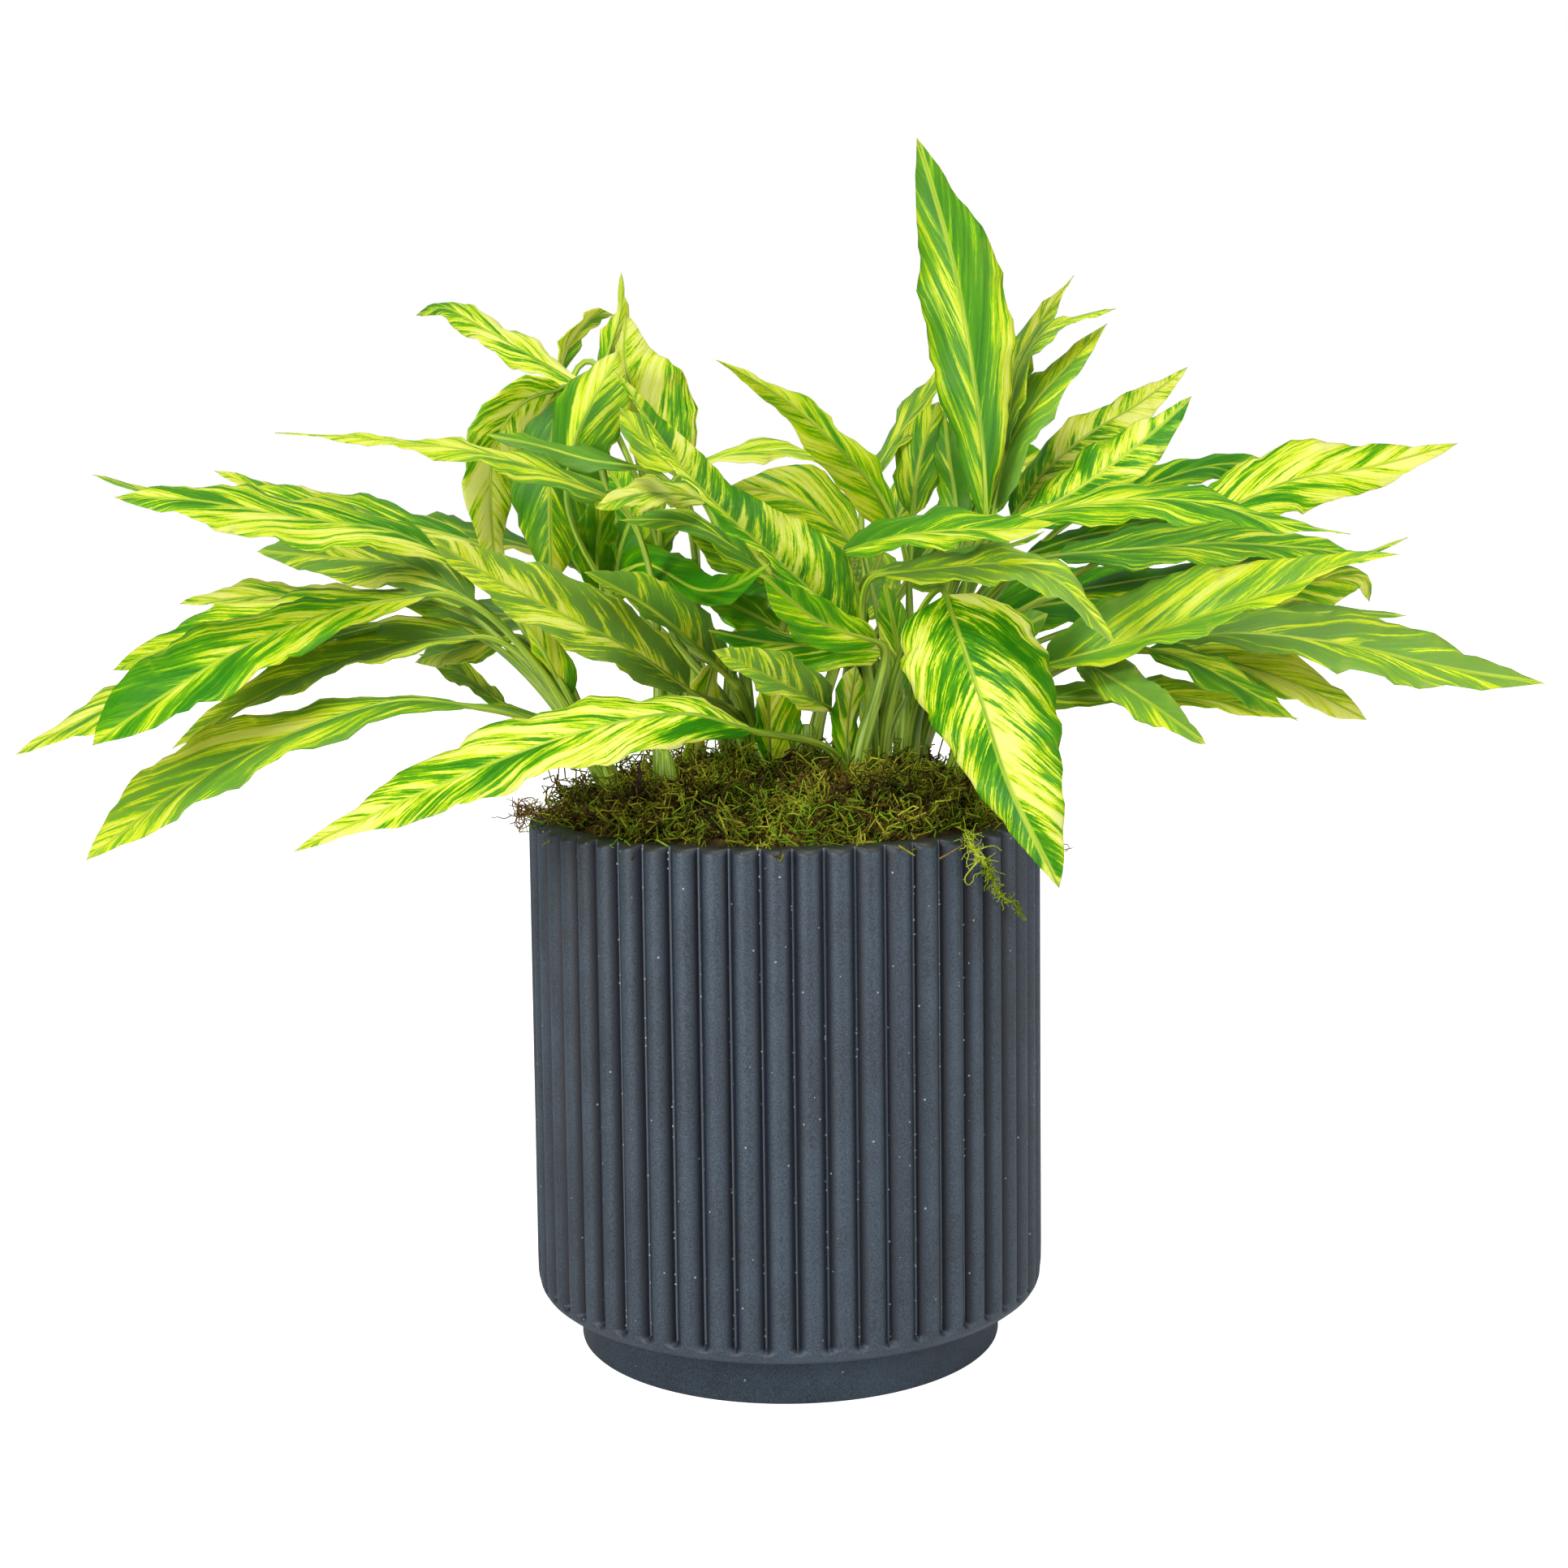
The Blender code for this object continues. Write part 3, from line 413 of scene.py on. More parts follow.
def make_pot_finish(grain):
    made, tree = new_tree("stone_planter")
    place = object_place(tree)
    near = stored(tree, "groove", "Fac")
    marks, chips = (put(tree, "ShaderNodeGroup", {"node_tree": grain}, Place=place, Speck_share=share)
                    for share in (WALL_SPECKS, GROOVE_CHIPS))
    dark, light = (tuple(share * c for c in POT_CHARCOAL) for share in (DARKEST, LIGHTEST))
    sand = blend_colour(fade(marks["Tone"], *TONE_RANGE), dark, light)
    # painted shade: each rib darker from its crest towards its grooves
    wall = blend_colour(fade(near, *GROOVE_SHADE), sand, POT_SHADED_GROOVE)
    wall = blend_colour(fade(near, *LINE_SHADE), wall, POT_LINE)
    # painted shade: the rim and the tops of the ribs dark, as in the shade of the foliage
    height = reckon("MULTIPLY_ADD", stored(tree, "crest", "Fac"), RIM_SHADE_CREST_DROP, apart(place)[2])
    body = blend_colour(fade(height, *RIM_SHADE_HEIGHTS), wall, POT_SHADED_RIM)
    in_groove = fade(near, *CHIPS_START) * chips["Specks"]
    pale = reckon("MAXIMUM", marks["Specks"] * 0.7, in_groove)
    set_finish(tree, blend_colour(pale, body, POT_GRAIN), 0.45, (marks["Height"], 0.5, 0.0004),
               Specular_IOR_Level=0.5)
    return made


pot_finish = make_pot_finish(make_grain())

# %% [markdown]
# The planter is one turned body: a foot that stands back, a wall that tapers by a millimetre, a flat
# rim and a plain inside. Its outline is a list of radii and heights. Their spacing is close at the
# foot and at the rim, where the ribs will begin and end, and wide between, where nothing changes.

# %% Planter outline
POT_HEIGHT = 262.0 * MM
RIM_RADIUS = 125.5 * MM
FOOT_RADIUS = 105.0 * MM
INNER_RADIUS = 111.0 * MM
INNER_FLOOR = 30.0 * MM
# Radius and height of the wall, in mm: a rounding at its foot, then a slight taper up to the rim. The
# first rows are taken as they are, and the rest of the wall is read at the heights that follow.
WALL = ((105.0, 24.4), (113.2, 24.5), (117.1, 24.8), (120.0, 25.5), (122.3, 26.6), (124.0, 28.0),
        (125.2, 29.9), (126.0, 32.3), (126.4, 36.0), (126.5, 44.0), (125.5, 262.0))
ROUNDING_ROWS = 7
WALL_HEIGHTS = (30.6, 31.2, 31.8, 32.4, 33.0, 33.8, 34.8, 36.0, 44.0, 90.0, 140.0, 190.0, 235.0, 250.0,
                255.0, 257.5, 258.4, 259.2, 260.0, 260.7, 261.2)
RIM_STEPS = (118.6, 117.1, 115.6)  # radii of the points across the flat rim, in mm


def arc(centre, radius, start, end, steps):
    """Points on an arc as (radius, height), angles in degrees from the outward direction."""
    turns = np.radians(np.linspace(start, end, steps))
    return [(centre[0] + radius * np.cos(a), centre[1] + radius * np.sin(a)) for a in turns]


def pot_profile():
    edge, inner, corner = 1.5 * MM, 3.0 * MM, 0.4 * MM
    wall = np.array(WALL) * MM
    rows = [(0.0, 0.0), (FOOT_RADIUS - 4 * edge, 0.0)]
    rows += arc((FOOT_RADIUS - edge, edge), edge, -90, 0, 4)
    rows += [tuple(row) for row in wall[:ROUNDING_ROWS]]
    rows += [(np.interp(height, wall[:, 1], wall[:, 0]), height) for height in np.array(WALL_HEIGHTS) * MM]
    rows += arc((RIM_RADIUS - corner, POT_HEIGHT - corner), corner, 0, 90, 4)
    rows += [(radius * MM, POT_HEIGHT) for radius in RIM_STEPS]
    rows += arc((INNER_RADIUS + inner, POT_HEIGHT - inner), inner, 90, 180, 5)
    return rows + [(INNER_RADIUS, 120 * MM), (INNER_RADIUS, INNER_FLOOR), (0.0, INNER_FLOOR)]


outline = pot_profile()
print(len(outline), "points in the planter's outline")

# %% [markdown]
# Then the planter is fluted. Its ribs are nearly half-round. Between them run narrow grooves, each
# with a fine raised line on its floor, which start just above a smooth lip and run out at the rim,
# where every rib ends in a rounded top. The grooves could be cut with many small tools; a rule that
# moves each point in by its angle and height is shorter and stays smooth.

# %% Planter
RIBS = 54
FIRST_GROOVE = np.radians(1.5)
# Where a rib has its points, denser towards the grooves.
RIB_STEPS = (0.0, 0.014, 0.03, 0.05, 0.08, 0.125, 0.19, 0.28, 0.39, 0.5, 0.61, 0.72, 0.81, 0.875, 0.92,
             0.95, 0.97, 0.986)
RIB_FILL = 0.94  # share of the pitch that a rib takes up
RIB_FULLNESS = 0.85
LINE_RISE = 0.14  # height of the line on a groove's floor, against the groove's depth
LINE_EDGE = (0.965, 0.99)  # across a rib, from its crest to the middle of a groove
GROOVE_SPREAD = (0.25, 1.0)  # the same for the stored groove number
GROOVE_START = 3.5 * MM  # how far up a groove takes to reach its depth
WALL_RADIUS = 118.8 * MM  # points within it and above the foot belong to the inside and stay
FOOT_ZONE = 50.0 * MM


def turned_faces(rings, sides):
    """Faces over rings of points, between a first and a last point that lie on the axis."""
    faces = []
    top = 1 + (rings - 1) * sides
    for k in range(sides):
        n = (k + 1) % sides
        faces += [(0, 1 + n, 1 + k), (top + sides, top + k, top + n)]
        for a in range(1, top, sides):
            faces.append((a + k, a + n, a + sides + n, a + sides + k))
    return faces


def turned_body(profile, turns):
    """Points and faces of a profile turned about Z. Its first and last points lie on the axis."""
    points = [(0.0, 0.0, profile[0][1])]
    for radius, height in profile[1:-1]:
        points += [(radius * np.sin(a), -radius * np.cos(a), height) for a in turns]
    points.append((0.0, 0.0, profile[-1][1]))
    return points, turned_faces(len(profile) - 2, len(turns))


def make_flute_rule(surface):
    sizes = ("Ribs", "First groove", "Depth", "Groove end", "Rim", "Rib end")
    tree, given = new_rule("flutes", {size: "Float" for size in sizes})
    x, y, z = apart(put(tree, "GeometryNodeInputPosition")[0])
    turn = (reckon("ARCTAN2", x, y * -1.0) - given["First groove"]) / (2 * np.pi)
    phase = reckon("FRACT", turn * given["Ribs"] + 2.0 * RIBS)
    aside = abs(phase - 0.5) * 2.0
    rise = (1.0 - reckon("MINIMUM", aside / RIB_FILL, 1.0) ** 2.0) ** RIB_FULLNESS
    line = fade(aside, *LINE_EDGE) * LINE_RISE
    into_end = reckon("DIVIDE", z + given["Rib end"] - given["Rim"], given["Rib end"], clamp=True)
    ribbed = (rise + line) * reckon("SQRT", 1.0 - into_end * into_end)
    outward = joined(x, y, 0.0)
    outside = reckon("MAXIMUM", vector_step("LENGTH", outward)["Value"] > WALL_RADIUS, z < FOOT_ZONE)
    reach = fade(z, given["Groove end"], given["Groove end"] + GROOVE_START) * outside
    move = (ribbed - 1.0) * given["Depth"] * reach
    shift = vector_step("SCALE", vector_step("NORMALIZE", outward)[0], Scale=move)[0]
    shape = given["Geometry"]
    for name, value in (("groove", reach * fade(aside, *GROOVE_SPREAD)), ("crest", rise)):
        shape = put(tree, "GeometryNodeStoreNamedAttribute", {"data_type": "FLOAT", "domain": "POINT"},
                    Geometry=shape, Name=name, Value=value)[0]
    return end_rule(put(tree, "GeometryNodeSetPosition", Geometry=shape, Offset=shift)[0], surface)


turns = [FIRST_GROOVE + 2 * np.pi * (rib + step) / RIBS for rib in range(RIBS) for step in RIB_STEPS]
planter = add_piece("planter", *turned_body(outline, turns), [pot_finish])
run_rule(planter, make_flute_rule(pot_finish),
         {"Ribs": float(RIBS), "First groove": float(FIRST_GROOVE), "Depth": 0.0048,
          "Groove end": 0.0305, "Rim": POT_HEIGHT, "Rib end": 0.003})
keep(planter, "pot", "pot")

# %% [markdown]
# The leaves are laid out as they are seen from the camera. A place is given by how far across and up
# it shows on the plane through the planter's axis, in millimetres, and by its depth. Each leaf has a
# midrib route, and for each half a list of widths and of how far its edge stands behind the midrib.
# Tables keep every shape in plain numbers that can be read and changed. The first one holds the
# shoots, whose feet and crowns are plain places in space.

# %% Shoot table
# Foot (across, depth), crown, and the stem's radius at the crown, in mm.
SHOOTS = {
    "shoot_left": ((-77, 4), (-92, 2, 292), 6.5),
    "shoot_front_left": ((-55, -28), (-57, -26, 296), 6.5),
    "shoot_top_left": ((-42, 62), (-46, 60, 300), 5.0),
    "shoot_middle": ((-14, 42), (-16, 36, 300), 5.5),
    "shoot_barred": ((11, 56), (12, 52, 300), 8.0),
    "shoot_front": ((34, -12), (33, -16, 286), 5.5),
    "shoot_front_right": ((46, 16), (47, 12, 300), 6.5),
    "shoot_tall": ((62, 54), (64, 52, 302), 6.0),
    "shoot_right": ((80, 22), (88, 18, 292), 5.0),
    "shoot_right_high": ((66, 76), (74, 74, 300), 5.0),
    "shoot_back_left": ((-24, 88), (-30, 96, 300), 5.5),
    "shoot_back_right": ((28, 92), (32, 102, 302), 5.5),
}
print(len(SHOOTS), "shoots")

# %% [markdown]
# A third of the leaves lean to the left. Most spread low over the rim, one thin leaf reaches far out,
# and a loose fan stands upright or hangs at the top. They could be copies of one leaf, turned at
# random, but each one bends and narrows in its own way, so each has a row of its own: midrib, left
# half, right half, place of the widest part and number of edge waves.

# %% Leaves on the left
LEAVES = {}
# leaves that spread low to the left
LEAVES["shoot_left"] = {
    "l09": ([(-172, 371, -18), (-215, 364, -42), (-258, 349, -66), (-300, 325, -92), (-340, 299, -112)],
        [(17, -22), (16, -22), (13, -18)], [(8, 22), (16, 22), (34, 18)], 0.60, 4),
    "l10": ([(-178, 358, 8), (-230, 352, -8), (-285, 336, -26), (-335, 316, -45), (-378, 295, -60)],
        [(10, -22)], [(8, 22)], 0.62, 4),
    "l08": ([(-188, 372, 32), (-235, 364, 54), (-285, 352, 88), (-328, 336, 122)], [(12, -20)],
        [(9, 20), (11, 20), (13, 16)], 0.50, 3),
    "l07": ([(-170, 374, 44), (-215, 371, 78), (-255, 371, 116), (-294, 368, 150)], [(6, -24), (5, -24)],
        [(3, 25), (10, 25)], 0.60, 3),
    "l06": ([(-150, 366, 10), (-178, 384, 26), (-215, 389, 52), (-255, 393, 84)], [(13, -18)],
        [(16, 20), (16, 20), (22, 18)], 0.40, 3),
    "l03": ([(-158, 386, -5), (-190, 402, -25), (-235, 409, -50), (-285, 418, -78), (-323, 420, -100)],
        [(12, -24), (14, -24), (13, -18)], [(8, 24), (12, 22)], 0.50, 4),
    "l02": ([(-163, 392, 18), (-205, 408, 8), (-260, 417, -8), (-305, 422, -24), (-333, 431, -34)],
        [(5, -20)], [(5, 20)], 0.45, 3),
    "l04": ([(-150, 396, 45), (-185, 406, 70), (-230, 415, 100), (-277, 423, 134)], [(10, -22)], [(9, 22)],
        0.48, 3),
    "l14": ([(-150, 396, 75), (-195, 405, 110), (-235, 417, 145), (-274, 432, 182)], [(6, -20)], [(7, 20)],
        0.52, 3),
    "l11": ([(-150, 350, 2), (-190, 346, -12), (-235, 332, -28), (-270, 315, -42), (-301, 297, -54)],
        [(5, -22)], [(15, 22), (14, 20), (14, 12)], 0.40, 3),
    "l12": ([(-152, 316, -30), (-190, 319, -45), (-235, 306, -62), (-290, 281, -85), (-346, 242, -110)],
        [(12, -22), (14, -22), (10, -22), (13, -18), (11, -8)],
        [(4, 22), (8, 22), (17, 22), (22, 20), (26, 12)], 0.58, 4),
    "l15": ([(-132, 350, 14), (-148, 347, 30), (-164, 343, 50), (-180, 338, 80)], [(8, -16)], [(6, 16)],
        0.45, 2),
    "l16": ([(-136, 316, 30), (-148, 325, 52), (-161, 334, 76), (-178, 342, 104)], [(5, -10)], [(6, 10)],
        0.50, 2),
    "l17": ([(-128, 348, 24), (-150, 358, 40), (-170, 366, 60), (-192, 370, 86)], [(8, -16)], [(7, 16)],
        0.50, 3),
    "l18": ([(-107, 318, 4), (-113, 334, 0), (-121, 350, -6), (-132, 366, -12)], [(4, 4)], [(11, 6)],
        0.40, 2),
}
# the thin leaf that reaches far left
LEAVES["shoot_front_left"] = {
    "n01": ([(-84, 417, -12), (-110, 428, -34), (-145, 439, -64), (-195, 446, -96), (-244, 450, -122)],
        [(8, -18), (6, -14), (3, -6)], [(8, 20), (4, 14), (2, 6)], 0.30, 4),
}
# upright and hanging leaves of the top left
LEAVES["shoot_top_left"] = {
    "c02": ([(-42, 431, 36), (-22, 437, 32), (0, 438, 28), (20, 435, 24), (38, 438, 20)], [(5, 22)],
        [(4, -22)], 0.48, 2),
    "n02": ([(-68, 431, 12), (-92, 435, 8), (-116, 442, 4), (-142, 448, 0)], [(5, -6)], [(5, 18)], 0.46, 2),
    "t01": ([(-96, 470, 62), (-118, 484, 92), (-145, 500, 130), (-160, 508, 158), (-174, 505, 186)],
        [(8, -16)], [(7, 18)], 0.42, 3),
    "t02": ([(-106, 474, 98), (-103, 486, 106), (-95, 498, 122), (-88, 504, 134), (-79, 504, 146)],
        [(4, -10)], [(5, 10)], 0.50, 2),
    "t03": ([(-86, 476, 76), (-80, 492, 80), (-75.5, 508, 86), (-75, 524, 92)], [(7, 8), (1.5, 5)],
        [(4, 8)], 0.40, 2),
    "t05": ([(-49, 425, 68), (-63, 452, 63), (-74, 480, 62), (-73, 505, 66)], [(5, 10)],
        [(25, 14), (26, 14), (25, 12), (18, 8)], 0.48, 3),
    "t07": ([(-103, 428, 24), (-98, 448, 26), (-89, 466, 32), (-77, 487, 40)], [(15, 16)], [(20, 12)],
        0.46, 2),
    "t08": ([(-104, 470, 48), (-124, 463, 34), (-137, 445, 22), (-141, 420, 16), (-139, 374, 14)],
        [(11, 12)], [(14, -14)], 0.45, 4),
    "t09": ([(-100, 474, 78), (-109, 452, 74), (-112, 420, 72), (-112, 376, 72)], [(29, 14)], [(21, 10)],
        0.45, 3),
    "t10": ([(-88, 370, 44), (-90, 388, 40), (-88, 404, 36), (-83, 421, 32)], [(12, -10)], [(9, 10)],
        0.50, 4),
    "t11": ([(-80, 366, 52), (-80, 382, 50), (-77, 396, 48), (-71, 410, 46)], [(9, 10)], [(13, -8)],
        0.50, 2),
    "t13": ([(-68, 378, 58), (-63, 386, 52), (-57, 394, 48), (-49, 402, 44)], [(9, -4)], [(4, 6)], 0.50, 2),
    "l05": ([(-112, 390, 96), (-145, 400, 130), (-170, 405, 168), (-196, 412, 205)], [(6, -24)], [(6, 24)],
        0.45, 3),
}

# %% [markdown]
# The leaves of the middle are seen most: the ones over the front of the rim, the big barred ones
# and the tallest of all. Their depths come forward step by step, so that each shades what is behind.

# %% Leaves in the middle
# leaves of the middle shoot
LEAVES["shoot_middle"] = {
    "c10": ([(-46, 322, -10), (-75, 343, -35), (-105, 359, -64), (-140, 378, -98), (-172, 399, -135)],
        [(13, -20)], [(20, 16)], 0.42, 4),
    "c11": ([(-24, 326, 4), (-42, 344, -22), (-66, 364, -60), (-96, 381, -112)], [(3, 20)], [(16, 12)],
        0.45, 3),
    "c12": ([(-77, 381, 30), (-64, 384, 14), (-42, 372, -12), (-24, 373, -32), (-6, 384, -50)],
        [(14, 12), (11, 14), (8, 8)], [(9, -10), (9, -12), (8, -8)], 0.42, 3),
    "c13": ([(4, 348, 30), (-10, 357, 24), (-24, 364, 16), (-40, 373, 8)], [(9, -6)], [(9, 8)], 0.50, 3),
    "c14": ([(-4, 376, 22), (-16, 385, 18), (-30, 395, 13), (-46, 405, 6)], [(12, -6)], [(8, 8)], 0.50, 2),
    "c15": ([(-7, 284, 22), (-7, 298, 19), (-7, 312, 16), (-6, 327, 12)], [(7, -4)], [(17, 4)], 0.56, 2),
    "c16": ([(-34, 337, 20), (-38, 322, 20), (-42, 304, 20), (-49, 281, 18)], [(6, 6)], [(7, -6)], 0.40, 3),
    "c01": ([(-36, 414, 20), (-50, 418, -18), (-70, 418, -62), (-90, 412, -110)], [(7, -20)], [(8, 22)],
        0.50, 3),
    "t12": ([(-50, 430, 14), (-62, 440, 10), (-70, 450, 8), (-77, 460, 6)], [(9, -6)], [(9, 8)], 0.45, 2),
    "c04": ([(6, 370, 34), (-20, 390, 18), (-46, 404, 0), (-78, 406, -24)], [(6, -18)], [(7, 18)], 0.45, 2),
}
# the barred leaf of the centre
LEAVES["shoot_barred"] = {
    "c05": ([(36, 392, 70), (20, 407, 64), (2, 417, 60), (-24, 422, 58)], [(16, -8), (15, -8), (11, -6)],
        [(19, 10), (18, 10), (12, 8)], 0.50, 2),
}
# leaves over the front of the rim
LEAVES["shoot_front"] = {
    "f13": ([(-14, 302, -62), (-52, 311, -96), (-105, 301, -122), (-165, 279, -140), (-243, 245, -150)],
        [(16, -20), (20, -20), (15, -20), (17, -18), (8, -8)],
        [(9, 20), (12, 22), (17, 22), (19, 20), (15, 12)], 0.46, 5),
    "f14": ([(24, 312, -18), (8, 321, -42), (-12, 331, -75), (-34, 342, -112)], [(7, -18)], [(15, 12)],
        0.42, 3),
    "f16": ([(33, 276, -14), (31, 290, -16), (32, 308, -20), (36, 334, -26)], [(9, -4)], [(6, 8)], 0.66, 2),
    "f17": ([(47, 345, -24), (25, 352, -46), (10, 361, -68), (-9, 378, -100)], [(13, -12)], [(11, 6)],
        0.45, 3),
}
# the big barred leaf of the centre and the leaves over the front right
LEAVES["shoot_front_right"] = {
    "f15": ([(50, 340, 2), (20, 343, -8), (-10, 346, -20), (-36, 352, -30)], [(12, -14)], [(7, 15)],
        0.45, 3),
    "c03": ([(40, 346, 2), (22, 363, -8), (-2, 385, -20), (-28, 409, -34), (-52, 436, -48),
        (-79, 477, -58)], [(4, -22)], [(20, 4), (27, 6), (16, 8), (17, 10), (16, 10)], 0.38, 4),
    "r01": ([(80, 368, -42), (88, 344, -74), (98, 314, -100), (112, 272, -124), (136, 222, -140)],
        [(33, 10), (39, 10), (37, 9), (39, 8), (41, 6)], [(43, 10), (34, 10), (25, 8), (19, 6), (16, 4)],
        0.40, 5),
    "r02": ([(28, 388, -2), (55, 396, -30), (85, 399, -60), (112, 399, -86), (134, 402, -108)], [(11, 20)],
        [(7, -18)], 0.46, 3),
    "r03": ([(46, 379, 6), (75, 385, -12), (105, 389, -30), (128, 398, -46)], [(3, 16)], [(4, -16)],
        0.48, 2),
    "r04": ([(48, 378, -22), (80, 381, -52), (112, 382, -82), (137, 372, -106), (163, 343, -132)],
        [(9, 15)], [(9, -15)], 0.50, 4),
    "r05": ([(58, 320, 8), (57, 338, 3), (54, 356, -5), (50, 374, -14)], [(8, 3)], [(9, 3)], 0.50, 2),
}
# the tallest leaf and the upright ones beside it
LEAVES["shoot_tall"] = {
    "c06": ([(56, 402, 40), (45, 421, 20), (28, 440, -8), (8, 459, -38), (-12, 472, -66), (-30, 482, -90)],
        [(17, 6), (11, 10), (6, 12)], [(8, 20), (8, 16), (5, 12)], 0.36, 3),
    "u01": ([(100, 402, 22), (98, 440, 20), (91, 490, 22), (84, 527, 27), (74, 563, 34), (67, 585, 40)],
        [(19, 10), (20, 10), (14, 7)], [(7, 14), (21, 9), (22, 9), (12, 6)], 0.55, 4),
    "u02": ([(44, 424, 62), (56, 443, 70), (68, 460, 80), (84, 484, 94)], [(6, 14)], [(6, -14)], 0.50, 2),
    "u03": ([(64, 406, 52), (66, 424, 54), (70, 442, 58), (77, 461, 64)], [(13, 8)], [(13, 8)], 0.52, 3),
    "u04": ([(104, 440, 64), (112, 474, 72), (126, 498, 84), (142, 520, 98)], [(9, 12), (8, 12), (3, 6)],
        [(9, -12), (7, -12), (3, -6)], 0.46, 3),
    "u05": ([(108, 436, 44), (116, 476, 50), (129, 494, 58), (145, 500, 66), (162, 504, 74)], [(3, 14)],
        [(6, -10), (3, -8)], 0.46, 3),
    "u06": ([(104, 408, 40), (110, 436, 44), (123, 459, 52), (140, 478, 66), (158, 497, 82)],
        [(11, 14), (10, 14), (7, 8)], [(11, -14), (10, -14), (7, -8)], 0.45, 3),
    "u09": ([(86, 398, 46), (85, 416, 50), (82, 435, 56), (80, 454, 62)], [(9, 6)], [(8, -6)], 0.50, 2),
}

# %% [markdown]
# On the right, one shoot spreads low and one high. The last two shoots stand on the far side: they
# hardly show from the front, but they keep the plant full from behind.

# %% Leaves on the right and the far side
# leaves that spread low to the right
LEAVES["shoot_right"] = {
    "s03": ([(106, 400, 6), (135, 408, -10), (170, 413, -28), (205, 411, -45), (242, 401, -60),
        (277, 395, -74)], [(7, 22), (7, 20), (2, 8)], [(9, -22), (11, -22), (3, -8)], 0.46, 4),
    "s07": ([(127, 332, -28), (160, 341, -44), (200, 354, -60), (240, 367, -76), (275, 381, -88),
        (301, 385, -96)], [(26, 12), (24, 12), (10, 8)], [(8, -22), (7, -20), (2, -8)], 0.42, 4),
    "s08": ([(180, 344, -4), (225, 347, -12), (275, 341, -20), (325, 329, -28), (374, 321, -36)],
        [(12, 20), (15, 20), (17, 16), (9, 10)], [(6, -20), (10, -20), (13, -18), (12, -10)], 0.52, 5),
    "s09": ([(186, 346, 24), (225, 352, 30), (265, 357, 36), (305, 355, 42)], [(5, 18)], [(5, -14)],
        0.45, 2),
    "s10": ([(180, 339, 6), (215, 334, 0), (250, 323, -8), (287, 304, -16)], [(13, 18)],
        [(9, -18), (9, -18), (13, -12)], 0.50, 3),
    "s11": ([(178, 340, -22), (200, 334, -34), (228, 319, -48), (253, 304, -62)],
        [(8, 14), (8, 14), (5, 8)], [(8, -14), (8, -14), (5, -8)], 0.48, 3),
    "s12": ([(144, 335, -8), (158, 328, -44), (182, 312, -92), (208, 293, -140)], [(11, 12)], [(10, -12)],
        0.42, 3),
    "s13": ([(110, 316, 6), (150, 317, -2), (190, 317, -8), (225, 312, -14), (253, 305, -20)], [(8, 16)],
        [(6, -16)], 0.50, 3),
    "s15": ([(98, 330, 24), (106, 340, 26), (116, 350, 32), (130, 358, 40)], [(10, 8)], [(9, -8)], 0.50, 2),
}
# leaves that spread high to the right
LEAVES["shoot_right_high"] = {
    "u07": ([(112, 404, 78), (128, 426, 88), (149, 444, 102), (174, 459, 122), (197, 476, 146)],
        [(12, 18), (10, 14), (7, 8)], [(12, -14)], 0.45, 3),
    "u08": ([(114, 402, 44), (136, 413, 46), (160, 429, 50), (182, 446, 58), (199, 462, 68)],
        [(14, 16), (13, 14), (8, 8)], [(15, -12), (15, -12), (12, -8)], 0.48, 4),
    "s01": ([(188, 398, 50), (215, 407, 70), (248, 421, 95), (286, 427, 120), (328, 438, 146)],
        [(17, 17), (18, 17), (9, 10)], [(14, -17), (15, -17), (13, -12)], 0.45, 4),
    "s02": ([(150, 408, 72), (185, 422, 102), (212, 429, 132), (240, 429, 165)], [(7, 18)], [(8, -18)],
        0.48, 2),
    "s04": ([(134, 386, 22), (175, 389, 28), (215, 391, 34), (258, 388, 40), (282, 385, 44),
        (305, 393, 48)], [(12, 22), (11, 20), (2, 6)], [(10, -20), (9, -18), (2, -6)], 0.42, 4),
    "s05": ([(138, 368, 44), (190, 376, 60), (242, 383, 80), (292, 384, 98)], [(6, 20)],
        [(9, -20), (7, -18), (4, -8)], 0.45, 3),
    "s06": ([(188, 361, 84), (222, 367, 100), (256, 372, 118), (283, 374, 134), (287, 362, 144)], [(7, 18)],
        [(14, -16)], 0.55, 3),
    "s14": ([(118, 386, 52), (150, 396, 64), (185, 399, 80), (216, 396, 98)], [(7, 16)], [(9, -16)],
        0.50, 3),
}
# leaves on the far side
LEAVES["shoot_back_left"] = {
    "b01": ([(-70, 372, 120), (-88, 392, 165), (-108, 402, 215), (-122, 398, 262)], [(16, 6)], [(16, -6)],
        0.45, 3),
    "b02": ([(-66, 384, 128), (-74, 412, 168), (-82, 428, 214), (-92, 430, 256)], [(13, 4)], [(12, -4)],
        0.45, 3),
    "b03": ([(-22, 352, 132), (-18, 360, 178), (-12, 362, 226), (-8, 354, 270)], [(16, 3)], [(16, -3)],
        0.45, 3),
    "b04": ([(-96, 352, 100), (-126, 360, 140), (-152, 362, 180), (-172, 354, 216)], [(8, 18)], [(8, -18)],
        0.45, 3),
}
# leaves on the far side
LEAVES["shoot_back_right"] = {
    "b05": ([(36, 356, 136), (38, 370, 182), (36, 374, 232), (32, 368, 280)], [(22, 2)], [(22, -2)],
        0.45, 3),
    "b06": ([(62, 372, 132), (80, 388, 178), (98, 394, 226), (112, 388, 272)], [(17, 5)], [(17, -5)],
        0.45, 3),
    "b07": ([(74, 392, 116), (96, 418, 150), (116, 430, 190), (134, 428, 230)], [(14, 8)], [(14, -8)],
        0.45, 3),
    "b08": ([(84, 354, 104), (128, 362, 150), (168, 366, 196), (204, 362, 238)], [(18, 18)], [(12, -18)],
        0.40, 3),
    "b09": ([(52, 396, 112), (66, 424, 132), (74, 446, 156), (80, 462, 182)], [(10, 6)], [(10, 6)],
        0.45, 3),
}
